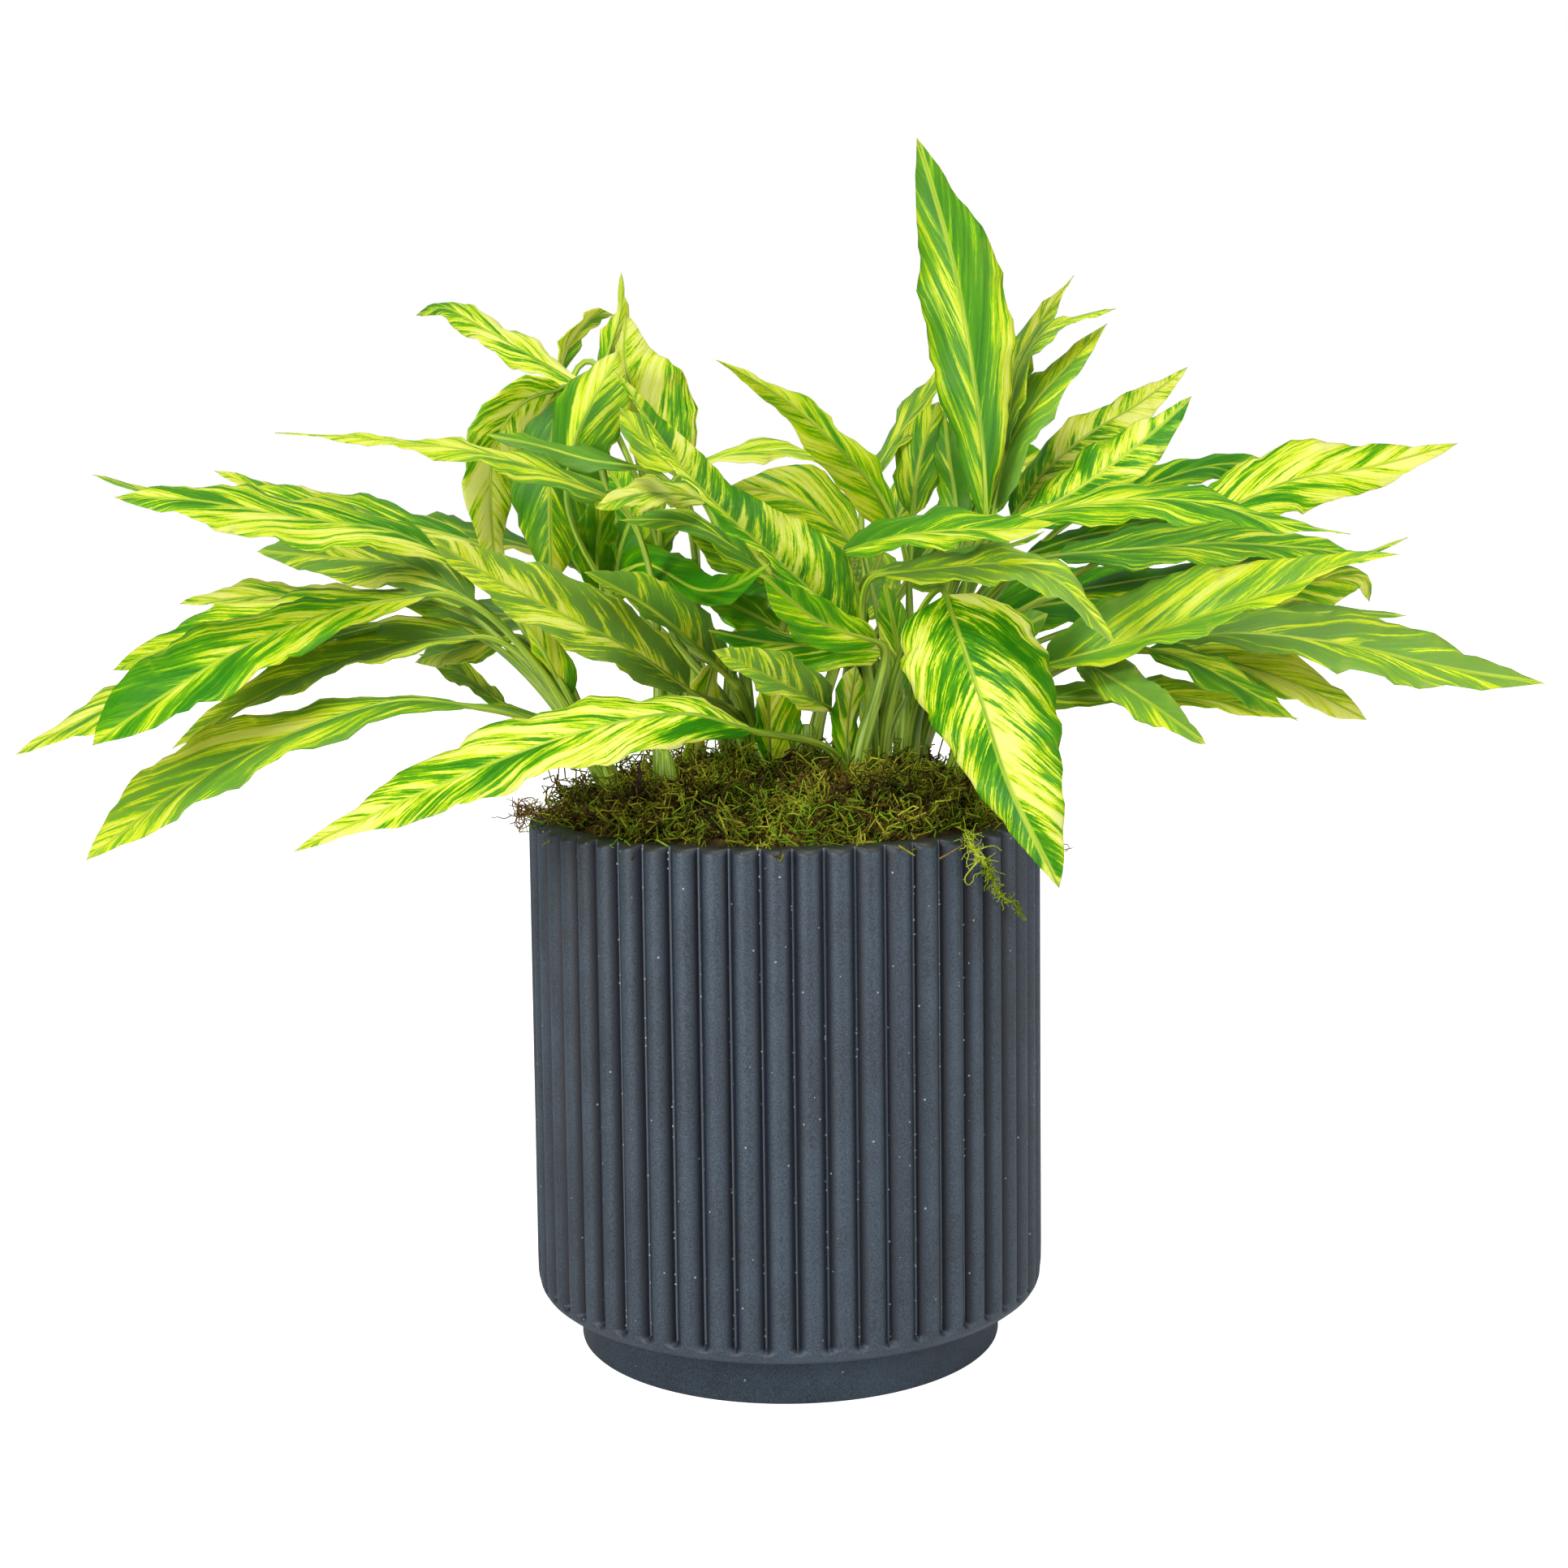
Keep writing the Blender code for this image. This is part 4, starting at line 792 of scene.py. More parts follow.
NUMBERS = {name: number for number, name in enumerate(sorted(sum(map(list, LEAVES.values()), [])))}
print(len(NUMBERS), "leaves on", len(SHOOTS), "shoots")

# %% [markdown]
# Variegated leaves differ from one to the next, from base to tip, and often from one half to the
# other. Each look gives the share of yellow at the base and at the tip, how much more of it the left
# half has, the share of a duller grey-green, which is partly the paler underside and partly painted
# sheen and shade on leaves that face away from the lamps, and how strong the streaks stand out. The
# few leaves without one, on the far side, take theirs from their number, so that neighbours differ.

# %% Leaf looks
# In hundredths.
LOOKS = {
    "l02": (34, 22, 0, 70, 70), "l03": (43, 59, -18, 10, 110), "l14": (36, 77, 0, 10, 90),
    "l04": (49, 38, -6, 20, 100), "l05": (38, 40, 11, 30, 90), "l06": (45, 28, -8, 80, 110),
    "l07": (48, 66, 2, 0, 100), "l08": (46, 47, 0, 0, 90), "l09": (63, 31, 3, 0, 80),
    "l10": (30, 79, -9, 30, 100), "l11": (36, 63, 1, 80, 90), "l12": (16, 60, -9, 50, 80),
    "l15": (43, 45, -2, 60, 70), "l16": (48, 48, 4, 60, 80), "l17": (30, 30, 8, 60, 80),
    "l18": (60, 67, 8, 10, 80), "f13": (20, 69, 7, 0, 130), "f14": (52, 47, 0, 80, 90),
    "f15": (45, 20, 9, 0, 100), "f16": (54, 40, -2, 0, 130), "f17": (57, 7, 5, 0, 60),
    "n01": (47, 64, -5, 50, 80), "n02": (10, 26, 0, 50, 70), "t01": (68, 45, 12, 10, 120),
    "t02": (69, 59, -2, 20, 90), "t03": (37, 89, -1, 20, 90), "t05": (62, 75, -3, 0, 110),
    "t07": (12, 58, 14, 20, 80), "t08": (80, 67, -3, 0, 120), "t09": (20, 28, 0, 10, 90),
    "t10": (19, 43, 2, 10, 90), "t11": (22, 5, 3, 10, 80), "t12": (35, 22, 11, 70, 80),
    "t13": (20, 5, 0, 10, 60), "b01": (24, 24, 0, 30, 70), "b02": (28, 36, -6, 0, 80),
    "c01": (53, 79, 8, 30, 90), "c02": (63, 59, -13, 20, 80), "c03": (31, 48, -5, 10, 115),
    "c04": (28, 37, 9, 40, 90), "c05": (61, 57, 1, 10, 90), "c06": (53, 70, 3, 10, 60),
    "c10": (43, 43, -2, 90, 100), "c11": (21, 13, 1, 60, 90), "c12": (16, 33, 2, 0, 60),
    "c13": (28, 26, 11, 0, 60), "c14": (29, 37, 7, 30, 80), "c15": (67, 57, -1, 0, 90),
    "c16": (96, 65, -1, 0, 60), "r01": (28, 78, -1, 0, 135), "r02": (23, 59, -7, 20, 80),
    "r03": (5, 24, 0, 50, 80), "r04": (44, 40, 7, 100, 70), "r05": (24, 20, 7, 20, 100),
    "s01": (49, 64, 6, 0, 100), "s02": (18, 40, -7, 0, 80), "s03": (39, 23, 4, 10, 90),
    "s04": (5, 44, 4, 20, 90), "s05": (19, 5, -11, 10, 80), "s06": (46, 53, -3, 10, 90),
    "s07": (47, 40, -10, 50, 55), "s08": (41, 22, -9, 80, 70), "s09": (32, 25, 0, 70, 80),
    "s10": (73, 78, 0, 40, 80), "s11": (33, 36, 1, 20, 80), "s12": (31, 22, -2, 70, 60),
    "s13": (40, 40, 1, 50, 80), "s14": (19, 37, -8, 0, 90), "s15": (24, 9, 0, 30, 70),
    "u01": (36, 24, 3, 10, 80), "u02": (33, 51, 10, 80, 80), "u03": (41, 41, -6, 20, 90),
    "u04": (40, 52, -15, 80, 80), "u05": (14, 43, 4, 80, 80), "u06": (20, 60, -1, 60, 50),
    "u07": (39, 52, -12, 0, 100), "u08": (62, 36, 28, 0, 100), "u09": (24, 11, 4, 20, 90),
    "b03": (14, 17, 0, 0, 70), "b07": (5, 59, 0, 0, 80), "b08": (9, 8, -10, 0, 70),
}
OTHER_YELLOW = (40, 26, 48, 32, 20)


def leaf_look(name, number):
    plain = OTHER_YELLOW[number % len(OTHER_YELLOW)]
    return np.array(LOOKS.get(name, (plain, plain, 0, 40, 80))) / 100


# %% [markdown]
# The table gives a few places for each leaf, and a leaf needs many. These helpers turn places as the
# camera sees them into points in space, draw a smooth curve through them and spread points evenly
# along it. A curve object could do the same, but then its points couldn't be reckoned with.

# %% Smooth lines
def seen(places):
    """The points that show at (across, up) on the plane y = 0 and lie at this depth, in metres."""
    places = np.asarray(places, float) * MM
    on_plane = np.stack([places[..., 0], 0 * places[..., 0], places[..., 1]], -1)
    reach = (places[..., 2] - VIEWPOINT[1]) / -VIEWPOINT[1]
    return VIEWPOINT + (on_plane - VIEWPOINT) * reach[..., None]


def unit(vectors):
    return vectors / np.maximum(np.linalg.norm(vectors, axis=-1, keepdims=True), 1e-9)


def run_length(line):
    return np.append(0, np.cumsum(np.linalg.norm(np.diff(line, axis=0), axis=1)))


def smooth_curve(values, at):
    """A smooth curve through evenly spaced values, read at places from 0 to 1."""
    values = np.asarray(values, float)
    if len(values) == 1:
        return np.full((len(at),) + values.shape[1:], values[0])
    ends = np.concatenate([2 * values[:1] - values[1:2], values, 2 * values[-1:] - values[-2:-1]])
    spot = np.clip(np.asarray(at) * (len(values) - 1), 0, len(values) - 1)
    first = np.minimum(spot.astype(int), len(values) - 2)
    t = (spot - first).reshape((-1,) + (1,) * (values.ndim - 1))
    a, b, c, d = (ends[first + k] for k in range(4))
    bend = (2 * a - 5 * b + 4 * c - d) * t**2 + (3 * b - a - 3 * c + d) * t**3
    return 0.5 * (2 * b + (c - a) * t + bend)


def smooth_line(points, count):
    """Places spread evenly by length along a smooth line through the given points."""
    fine = smooth_curve(points, np.linspace(0, 1, 24 * len(points)))
    run = run_length(fine)
    even = np.linspace(0, run[-1], count)
    return np.stack([np.interp(even, run, column) for column in fine.T], -1)


# %% [markdown]
# A leaf blade could be a flat picture of a leaf, but up close a real one has thickness, a crease
# along its midrib, a soft arch in each half and waves that grow towards its edges. So each blade is
# lofted: one row of points after another, from the left edge over the midrib to the right edge, with
# a near and a far face. The direction of the veins is stored with the points for the colouring.

# %% Blade shape
WAVE_DEPTH = 2.2 * MM
RIPPLE_DEPTH = 0.9 * MM
ARCH = 0.22  # how far each half bulges, against its width
EDGE_NIBBLE = 0.035  # how far the edge draws in between its waves, as a share of the half width
BASE_FULLNESS = 0.62
TIP_FULLNESS = 0.85
SPARE = ((0, 0.3, 1), (0.9, 0.4, 0.15))  # mm that hide the midrib's sides, along the blade
BLADE_ROW_STEP = 5.5 * MM
FEWEST_ROWS, MOST_ROWS = 14, 64
SHARES = np.array([0.0, 0.09, 0.22, 0.38, 0.56, 0.74, 0.89, 1.0])  # from the midrib to the edge


def blade_width(s, widest):
    """0 to 1 along the blade: quickly full after the stalk, then drawn out slowly to the tip."""
    fullness = np.where(s < widest, BASE_FULLNESS, TIP_FULLNESS)
    return np.clip(np.sin(np.pi * s ** (np.log(0.5) / np.log(widest))), 0, 1) ** fullness


def blade_half(line, pairs, side, s, widest):
    """Edge points of one half of a blade, before its waves. The side is 1 on the left, -1 on the right."""
    width, depth = smooth_curve(pairs, s).T
    along = unit(np.gradient(line[:, :2], axis=0))
    outward = side * np.stack([-along[:, 1], along[:, 0]], -1)
    share = blade_width(s, widest)
    places = line.copy()
    places[:, :2] += outward * (share * width)[:, None]
    places[:, 2] += share * depth
    return seen(places)


def swell(turns):
    return np.sin(2 * np.pi * turns)


def blade_grid(leaf, number):
    """Points across and along a blade, the direction of its far face, and the distance from its midrib."""
    route, left, right, widest, waves = leaf
    length = run_length(seen(smooth_line(route, 30)))[-1]
    s = np.linspace(0, 1, int(np.clip(round(length / BLADE_ROW_STEP), FEWEST_ROWS, MOST_ROWS)))
    line = smooth_line(route, len(s))
    midrib = seen(line)
    along = unit(np.gradient(midrib, axis=0))
    fullness = blade_width(s, widest)
    places, faces, across = [], [], []
    for side, pairs in ((1, left), (-1, right)):
        half = blade_half(line, pairs, side, s, widest) - midrib
        width = np.linalg.norm(half, axis=1)
        face = unit(np.cross(half * side, along))
        half = half * ((width + np.interp(s, *SPARE) * MM) / np.maximum(width, 0.2 * MM))[:, None]
        width = np.linalg.norm(half, axis=1)
        swing = WAVE_DEPTH * swell(waves * s + 0.37 * number + 0.19 * side)
        ripple = RIPPLE_DEPTH * swell(2.7 * waves * s + 0.23 * number + 0.4 * side)
        nibble = swell(1.7 * waves * s + 0.31 * number + side) \
            + 0.7 * swell(4.3 * waves * s + 0.53 * number - side)
        for u in SHARES:
            lift = fullness * (swing * u**1.6 + ripple * u**3) - ARCH * width * u * (1 - u)
            inward = 1 - EDGE_NIBBLE * (1 + nibble) * u**4
            places.append(midrib + half * (u * inward)[:, None] + face * lift[:, None])
            faces.append(face)
            across.append(side * width * u)
    faces[0] = unit(faces[0] + faces[len(SHARES)])
    order = [*range(len(SHARES) - 1, -1, -1), *range(len(SHARES) + 1, 2 * len(SHARES))]
    places, faces, across = (np.stack([table[k] for k in order], 1) for table in (places, faces, across))
    return places, faces, across, midrib, s


# %% [markdown]
# Each leaf stands on a stalk of its own. In such plants the stalks clasp each other low down and make
# the stem, so every stalk starts beside the others at the foot, follows the stem to its crown and
# then bends over to its blade, where it goes on as the raised midrib.

# %% Stalk shape
STEM_FOOT = 205.0 * MM
MOSS_EDGE = 260.5 * MM
SHEATH_RADIUS = 4.5 * MM
THIN_SHEATHS = {"f13": 2.1 * MM, "f14": 3.0 * MM}
STALK_RADIUS = 1.6 * MM
SHEATH_PLACES = (0, 0.08, 0.16)  # metres up the stalk where its sheath starts, narrows and ends
MIDRIB_RADII = ((0, 0.35, 1), (1.5, 0.7, 0.22))  # mm, by the share of the blade
CROWN_PULL, BLADE_PULL = 0.25, 0.3  # how far a stalk goes on straight at its ends, against its reach
SHEATH_INSET = 0.75  # share of a sheath's radius that lies inside the stem
LOW_POINTS, FREE_POINTS = 8, 22  # along a stalk, up to the crown and past it


def stem_line(shoot):
    """Points up a shoot's stem, from its foot in the soil to its crown."""
    (across, depth), crown, _ = SHOOTS[shoot]
    foot = np.array([across, depth, 0]) * MM
    crown = np.array(crown) * MM
    low, moss = foot + (0, 0, STEM_FOOT), foot + (0, 0, MOSS_EDGE)
    return np.array([low, moss, moss * 0.5 + crown * 0.5, crown])


def stalk_line(shoot, midrib):
    """A leaf stalk's points, from its foot beside the stem up to the start of the blade."""
    foot, moss, start, crown = stem_line(shoot)
    base = midrib[0]
    reach = np.linalg.norm(base - crown)
    lift = crown + unit(crown - moss) * CROWN_PULL * reach
    ease = base - unit(midrib[1] - midrib[0]) * BLADE_PULL * reach
    t = np.linspace(0, 1, FREE_POINTS)[:, None]
    free = start * (1 - t)**3 + 3 * lift * t * (1 - t)**2 + 3 * ease * t**2 * (1 - t) + base * t**3
    off = max(SHOOTS[shoot][2] * MM - SHEATH_INSET * SHEATH_RADIUS, 0.5 * MM)
    aside = unit((base - crown) * (1, 1, 0)) * off
    low = np.linspace(foot, start, LOW_POINTS)[:-1]
    hold = np.vstack([np.ones((len(low), 1)), np.clip(1 - 1.6 * t, 0, 1)])
    return np.vstack([low, free]) + aside * hold


def tube(line, radii, sides, flat=1.0):
    """Rings of points round a line. Flat is the share of the radius towards the front."""
    along = unit(np.gradient(line, axis=0))
    turn = 2 * np.pi * np.arange(sides) / sides
    sideways = unit(np.cross(along, (0.0, 1.0, 0.0)))
    toward = np.cross(along, sideways)
    return (line[:, None] + radii[:, None, None] * (np.cos(turn)[None, :, None] * sideways[:, None]
                                                    + flat * np.sin(turn)[None, :, None] * toward[:, None]))


def loop_faces(rows, sides, first=0):
    """Quads of a closed loft, with a flat end at its start and at its tip."""
    faces = []
    for start in range(first, first + (rows - 1) * sides, sides):
        for k in range(sides):
            a, b = start + k, start + (k + 1) % sides
            faces.append((a, b, b + sides, a + sides))
    last = first + (rows - 1) * sides
    return faces + [tuple(range(first + sides - 1, first - 1, -1)), tuple(range(last, last + sides))]


# %% [markdown]
# The colour of a blade comes from its veins, which leave the midrib at a slant and curve on towards
# the tip. Noise that is stretched along that direction gives streaks that run from the midrib to the
# edge, as they do on such leaves, where some strips of tissue make green and others don't. Four
# bands of noise, from broad patches to hair-fine lines, add up, and the share of yellow of each leaf
# shifts the sum along one ramp from deep green to pale yellow.

# %% Leaf finish
LEAF_COLOURS = [(0.02, rgb(36, 112, 0)), (0.34, rgb(72, 142, 0)), (0.46, rgb(116, 170, 0)),
                (0.52, rgb(158, 194, 4)), (0.58, rgb(190, 206, 10)), (0.92, rgb(222, 228, 116))]
# partly a duller underside and partly painted sheen and shade on leaves turned from the lamps
SHEEN_GREY_GREEN = rgb(106, 142, 58)
MIDRIB_GREEN = rgb(176, 200, 50)
STALK_LOW = rgb(60, 104, 4), rgb(158, 184, 50)
STALK_HIGH = rgb(120, 168, 10), rgb(190, 210, 60)
# Each band of streaks: how often it changes along the midrib and outwards, per metre, and its strength.
STREAK_BANDS = ((14.0, 20.0, 2.0), (75.0, 30.0, 2.0), (250.0, 60.0, 1.3), (680.0, 120.0, 1.1))
RAGGED = 0.0011  # how far the fine noise pushes a streak along the midrib
OTHER_HALF = 47.0  # a step in the noise, so that the two halves of a leaf differ
RAGGED_STRETCH = (500.0, 900.0)  # of that fine noise, along and across
FIBRE_STRETCH = (900.0, 25.0)  # of the stalk's fibres, across and along
SHEEN_GREY_RANGE = (0.35, 0.6)  # on the ramp, where the grey-green of painted sheen and shade gives way to yellow
MIDRIB_EDGE, MIDRIB_SHARE = (0.6 * MM, 1.6 * MM), 0.75


def make_streaks():
    tree, given = new_group("leaf_streaks", "ShaderNodeTree", {"Vein": "Vector", "Tone": "Vector"},
                            {"Colour": "Color", "Height": "Float"})
    across, vein, seed = apart(given["Vein"])
    yellow, grey, contrast = apart(given["Tone"])
    seed = seed + (across > 0.0) * OTHER_HALF
    along, outward = RAGGED_STRETCH
    grain = noise(joined(vein * along, across * outward, seed), 1.0, 2.0, 0.6)
    vein = vein + (grain - 0.5) * (2 * RAGGED)
    streaks = 0.0
    for crosswise, outward, strength in STREAK_BANDS:
        band = noise(joined(vein * crosswise, across * outward, seed), 1.0, 3.0, 0.6, 0.4)
        streaks = (band - 0.5) * strength + streaks
    value = streaks * contrast + yellow
    bright = ramp(value, LEAF_COLOURS)
    # the grey-green share paints sheen and shade on leaves turned from the lamps, over part of a duller
    # underside
    tissue = blend_colour(grey * (1.0 - fade(value, *SHEEN_GREY_RANGE)), bright, SHEEN_GREY_GREEN)
    rib = (1.0 - fade(abs(across), *MIDRIB_EDGE)) * MIDRIB_SHARE
    put(tree, "NodeGroupOutput", Colour=blend_colour(rib, tissue, MIDRIB_GREEN), Height=band)
    return tree


def make_leaf_finish(streaks):
    made, tree = new_tree("striped_blade")
    marks = put(tree, "ShaderNodeGroup", {"node_tree": streaks},
                Vein=stored(tree, "vein", "Vector"), Tone=stored(tree, "tone", "Vector"))
    set_finish(tree, marks["Colour"], 0.45, (marks["Height"], 0.35, 0.0005), Specular_IOR_Level=0.18,
               Subsurface_Weight=0.75, Subsurface_Radius=(1.0, 1.0, 0.3), Subsurface_Scale=0.0025)
    return made


def make_stalk_finish():
    """Olive and fibrous low down, fresher and paler towards the blade."""
    made, tree = new_tree("leaf_stalk")
    across, along, seed = apart(stored(tree, "vein", "Vector"))
    rise = apart(stored(tree, "tone", "Vector"))[2]
    fibre = noise(joined(across * FIBRE_STRETCH[0], along * FIBRE_STRETCH[1], seed), 1.0, 3.0, 0.6)
    low = blend_colour(fade(fibre, 0.35, 0.65), *STALK_LOW)
    high = blend_colour(fade(fibre, 0.3, 0.7), *STALK_HIGH)
    set_finish(tree, blend_colour(rise, low, high), 0.45, (fibre, 0.3, 0.0003))
    return made


leaf_finish = make_leaf_finish(make_streaks())
stalk_finish = make_stalk_finish()

# %% [markdown]
# Each shoot is one mesh of its stalks, its midribs and its blades. They could be objects of their
# own, but a shoot moves and is replaced as one. This helper gathers their points, their faces, which
# of the two finishes each face takes, and the numbers that the finishes read.

# %% Mesh of a shoot
BLADE, STALK = 0, 1  # places of the two finishes on a shoot's mesh


class Mesh:
    """Points, faces and stored numbers of a piece while it is put together."""

    def __init__(self):
        self.points, self.vein, self.tone = (np.empty((0, 3)) for _ in range(3))
        self.faces, self.kinds = [], []

    def add(self, rings, kind, vein, tone):
        """Adds a closed loft. Vein and tone hold three numbers for its points, or for its rings."""
        new = loop_faces(*rings.shape[:2], len(self.points))
        self.faces += new
        self.kinds += [kind] * len(new)
        self.points = np.vstack([self.points, rings.reshape(-1, 3)])
        vein, tone = (np.stack(np.broadcast_arrays(*part, rings[..., 0])[:3], -1).reshape(-1, 3)
                      for part in (vein, tone))
        self.vein, self.tone = np.vstack([self.vein, vein]), np.vstack([self.tone, tone])

    def add_tube(self, line, radii, sides, flat, seed, tone):
        """Adds a tube whose fibres run along it."""
        around = np.cos(2 * np.pi * np.arange(sides) / sides) * radii[:, None]
        self.add(tube(line, radii, sides, flat), STALK, (around, run_length(line)[:, None], seed), tone)


# %% [markdown]
# Every shoot takes the place of its plain solid. The blades carry the streaked finish and the stalks
# and midribs the fibrous one.

# %% Shoots
VEIN_SLOPE = 2.4  # how far forward a vein runs for each step outwards
VEIN_BEND = 18.0
VEIN_SPREAD = 1.8  # how fast the streaks change, for veins straight out from the midrib
VEIN_SLOPES = {"c03": 0.5, "u07": 0.7, "u08": 0.7, "t05": 1.0, "t08": 1.0, "r01": 1.3, "f13": 1.8,
               "u01": 3.6, "l09": 1.8, "t09": 1.8, "f16": 2.0, "c10": 1.5, "f14": 1.2, "c11": 1.5}
BLADE_THICKNESS = ((0, 0.1, 1), (0.5, 0.34, 0.2))  # mm to each face at the midrib, along the blade
EDGE_THINNING = 0.45
STALK_SIDES = 8
STALK_FLATNESS = 0.85
STEM_ROWS = STEM_SIDES = 12
STEM_TAPER = ((0, 0.4, 0.85, 1), (0.85, 0.85, 0.8, 0.35))  # share of the radius, along the stem
STEM_TONE = (0.0, 0.0, 0.1)  # only the last counts: how fresh the green is


def add_blade(mesh, name, leaf, number):
    places, faces, across, midrib, s = blade_grid(leaf, number)
    share = np.abs(across) / np.maximum(np.abs(across).max(axis=1, keepdims=True), 1e-6)
    thick = np.interp(s, *BLADE_THICKNESS)[:, None] * (1 - EDGE_THINNING * share) * MM
    near, far = places - faces * thick[..., None], places + faces * thick[..., None]
    rings = np.concatenate([far, near[:, ::-1]], axis=1)
    sides = np.concatenate([across, across[:, ::-1]], axis=1)
    slope = VEIN_SLOPES.get(name, VEIN_SLOPE)
    forward = run_length(midrib)[:, None] - slope * np.abs(sides) - VEIN_BEND * sides**2
    # grey is the share of grey-green: partly a duller underside, partly painted sheen and shade
    at_base, at_tip, left_more, grey, contrast = leaf_look(name, number)
    yellow = at_base + (at_tip - at_base) * s[:, None] + left_more * np.tanh(sides / (2 * MM))
    mesh.add(rings, BLADE, (sides, forward * VEIN_SPREAD / np.hypot(1.0, slope), 3.7 * number),
             (yellow, grey, contrast))
    return midrib


def add_stalk(mesh, shoot, name, number, midrib):
    """Adds a stalk and, as one tube with it, the midrib that it goes on as."""
    stalk = stalk_line(shoot, midrib)
    line = np.vstack([stalk[:-1], midrib])
    run = run_length(line)
    sheath = THIN_SHEATHS.get(name, SHEATH_RADIUS)
    low = np.interp(run_length(stalk)[:-1], SHEATH_PLACES, (sheath, sheath, STALK_RADIUS))
    radii = np.append(low, np.interp(np.linspace(0, 1, len(midrib)), *MIDRIB_RADII) * MM)
    rise = np.interp(run, (0.07, 0.14, run[len(stalk) - 1], run[-1]), (0.0, 0.25, 0.6, 1.0))
    mesh.add_tube(line, radii, STALK_SIDES, STALK_FLATNESS, 5.3 * number, (0.0, 0.0, rise[:, None]))


def add_stem(mesh, shoot):
    up = np.linspace(0, 1, STEM_ROWS)
    line = smooth_curve(stem_line(shoot), up)
    radii = np.interp(up, *STEM_TAPER) * (SHOOTS[shoot][2] * MM)
    mesh.add_tube(line, radii, STEM_SIDES, 1.0, 90 * line[0, 0], STEM_TONE)


def make_shoot(shoot):
    mesh = Mesh()
    add_stem(mesh, shoot)
    for name, leaf in LEAVES[shoot].items():
        number = NUMBERS[name]
        midrib = add_blade(mesh, name, leaf, number)
        add_stalk(mesh, shoot, name, number, midrib)
    made = add_piece("leafy_" + shoot, mesh.points, mesh.faces, [leaf_finish, stalk_finish],
                     mesh.kinds, {"vein": mesh.vein, "tone": mesh.tone}, mesh.vein[:, :2])
    keep(made, "leaf", shoot)


for shoot in SHOOTS:
    make_shoot(shoot)

# %% [markdown]
# Dry reindeer moss and sheet moss are heaped over the soil. The heap is one low lumpy mound, turned
# from rings of points, with the brown of dead moss as the ground that shows between its strands.

# %% Moss mound
MOSS_FOOT = 238.4 * MM  # just above the top of the soil
MOSS_RISE = 18.0 * MM
MOSS_LUMP = 2.2 * MM
MOSS_PLAY = 0.35 * MM
MOSS_RINGS = 34
MOSS_SIDES = 132
MOSS_PATCHES, MOSS_FUZZ = 34.0, 420.0  # changes of tone per metre


def on_moss(radius, turn):
    """Points on a low mound, lumpy by three sums of waves."""
    x, y = radius * np.cos(turn), radius * np.sin(turn)
    a, b = x / MM, y / MM
    mound = MOSS_EDGE + MOSS_RISE * (1 - (radius / INNER_RADIUS) ** 2)
    lumps = np.sin(a / 9 + 1.3) * np.sin(b / 8)
    lumps = lumps + 0.7 * np.sin(a / 15 - b / 13 + 2) + 0.5 * np.sin(a / 6 + b / 21)
    return np.stack([x, y, mound + MOSS_LUMP * lumps], -1)


def make_moss_finish(name, dark, mid, light):
    made, tree = new_tree(name)
    place = object_place(tree)
    patch, fine = noise(place, MOSS_PATCHES, 2.0, 0.6), noise(place, MOSS_FUZZ, 3.0, 0.7)
    colour = ramp(patch * 0.7 + fine * 0.5, [(0.40, dark), (0.60, mid), (0.80, light)])
    set_finish(tree, colour, 0.9, (fine, 0.6, 0.001), Specular_IOR_Level=0.2)
    return made


def add_moss_mound(surface):
    turn = 2 * np.pi * np.arange(MOSS_SIDES) / MOSS_SIDES
    radii = np.linspace(0, INNER_RADIUS - MOSS_PLAY, MOSS_RINGS)
    foot = on_moss(radii[-1], turn)
    foot[:, 2] = MOSS_FOOT
    rings = [foot] + [on_moss(radius, turn) for radius in radii[:0:-1]]
    points = np.vstack([(0.0, 0.0, MOSS_FOOT), *rings, on_moss(0.0, 0.0)])
    made = add_piece("moss_mound", points, turned_faces(len(rings), MOSS_SIDES), [surface])
    keep(made, "moss", "moss_bed")


brown_moss = make_moss_finish("brown_moss", rgb(20, 14, 3), rgb(62, 46, 10), rgb(126, 98, 34))
olive_moss = make_moss_finish("olive_moss", rgb(52, 54, 3), rgb(118, 120, 14), rgb(188, 188, 56))
green_moss = make_moss_finish("green_moss", rgb(46, 70, 2), rgb(96, 126, 10), rgb(160, 186, 48))
add_moss_mound(brown_moss)

# %% [markdown]
# On the mound, geometry nodes scatter short curly strands in three colours: a line on each point,
# turned at random, bent by noise and given a thin three-sided skin. A strand has few faces, because
# there are thousands of them.

# %% Moss strands
STRAND_RADIUS = 0.44 * MM
STRAND_POINTS = 11
STRAND_TILTS = ((0.7, 0.0, 0.0), (1.75, 0.0, 6.28))  # least and most turn about each axis
STRAND_LENGTHS = (0.45, 1.2)  # against the full length
GROUND_RINGS, GROUND_SIDES = 12, 48  # of the patch that the strands stand on
GROUND_EDGE = 1.0 * MM
HEAPS, CURLS = 45.0, 240.0  # how often the heaps and the bends change, per metre
# Name, finish, strands per square metre, length and curl in metres, and seed.
STRANDS = (
    ("olive_strands", olive_moss, 160000.0, 0.017, 0.036, 3),
    ("brown_strands", brown_moss, 150000.0, 0.015, 0.034, 11),
    ("green_strands", green_moss, 75000.0, 0.016, 0.036, 23),
)


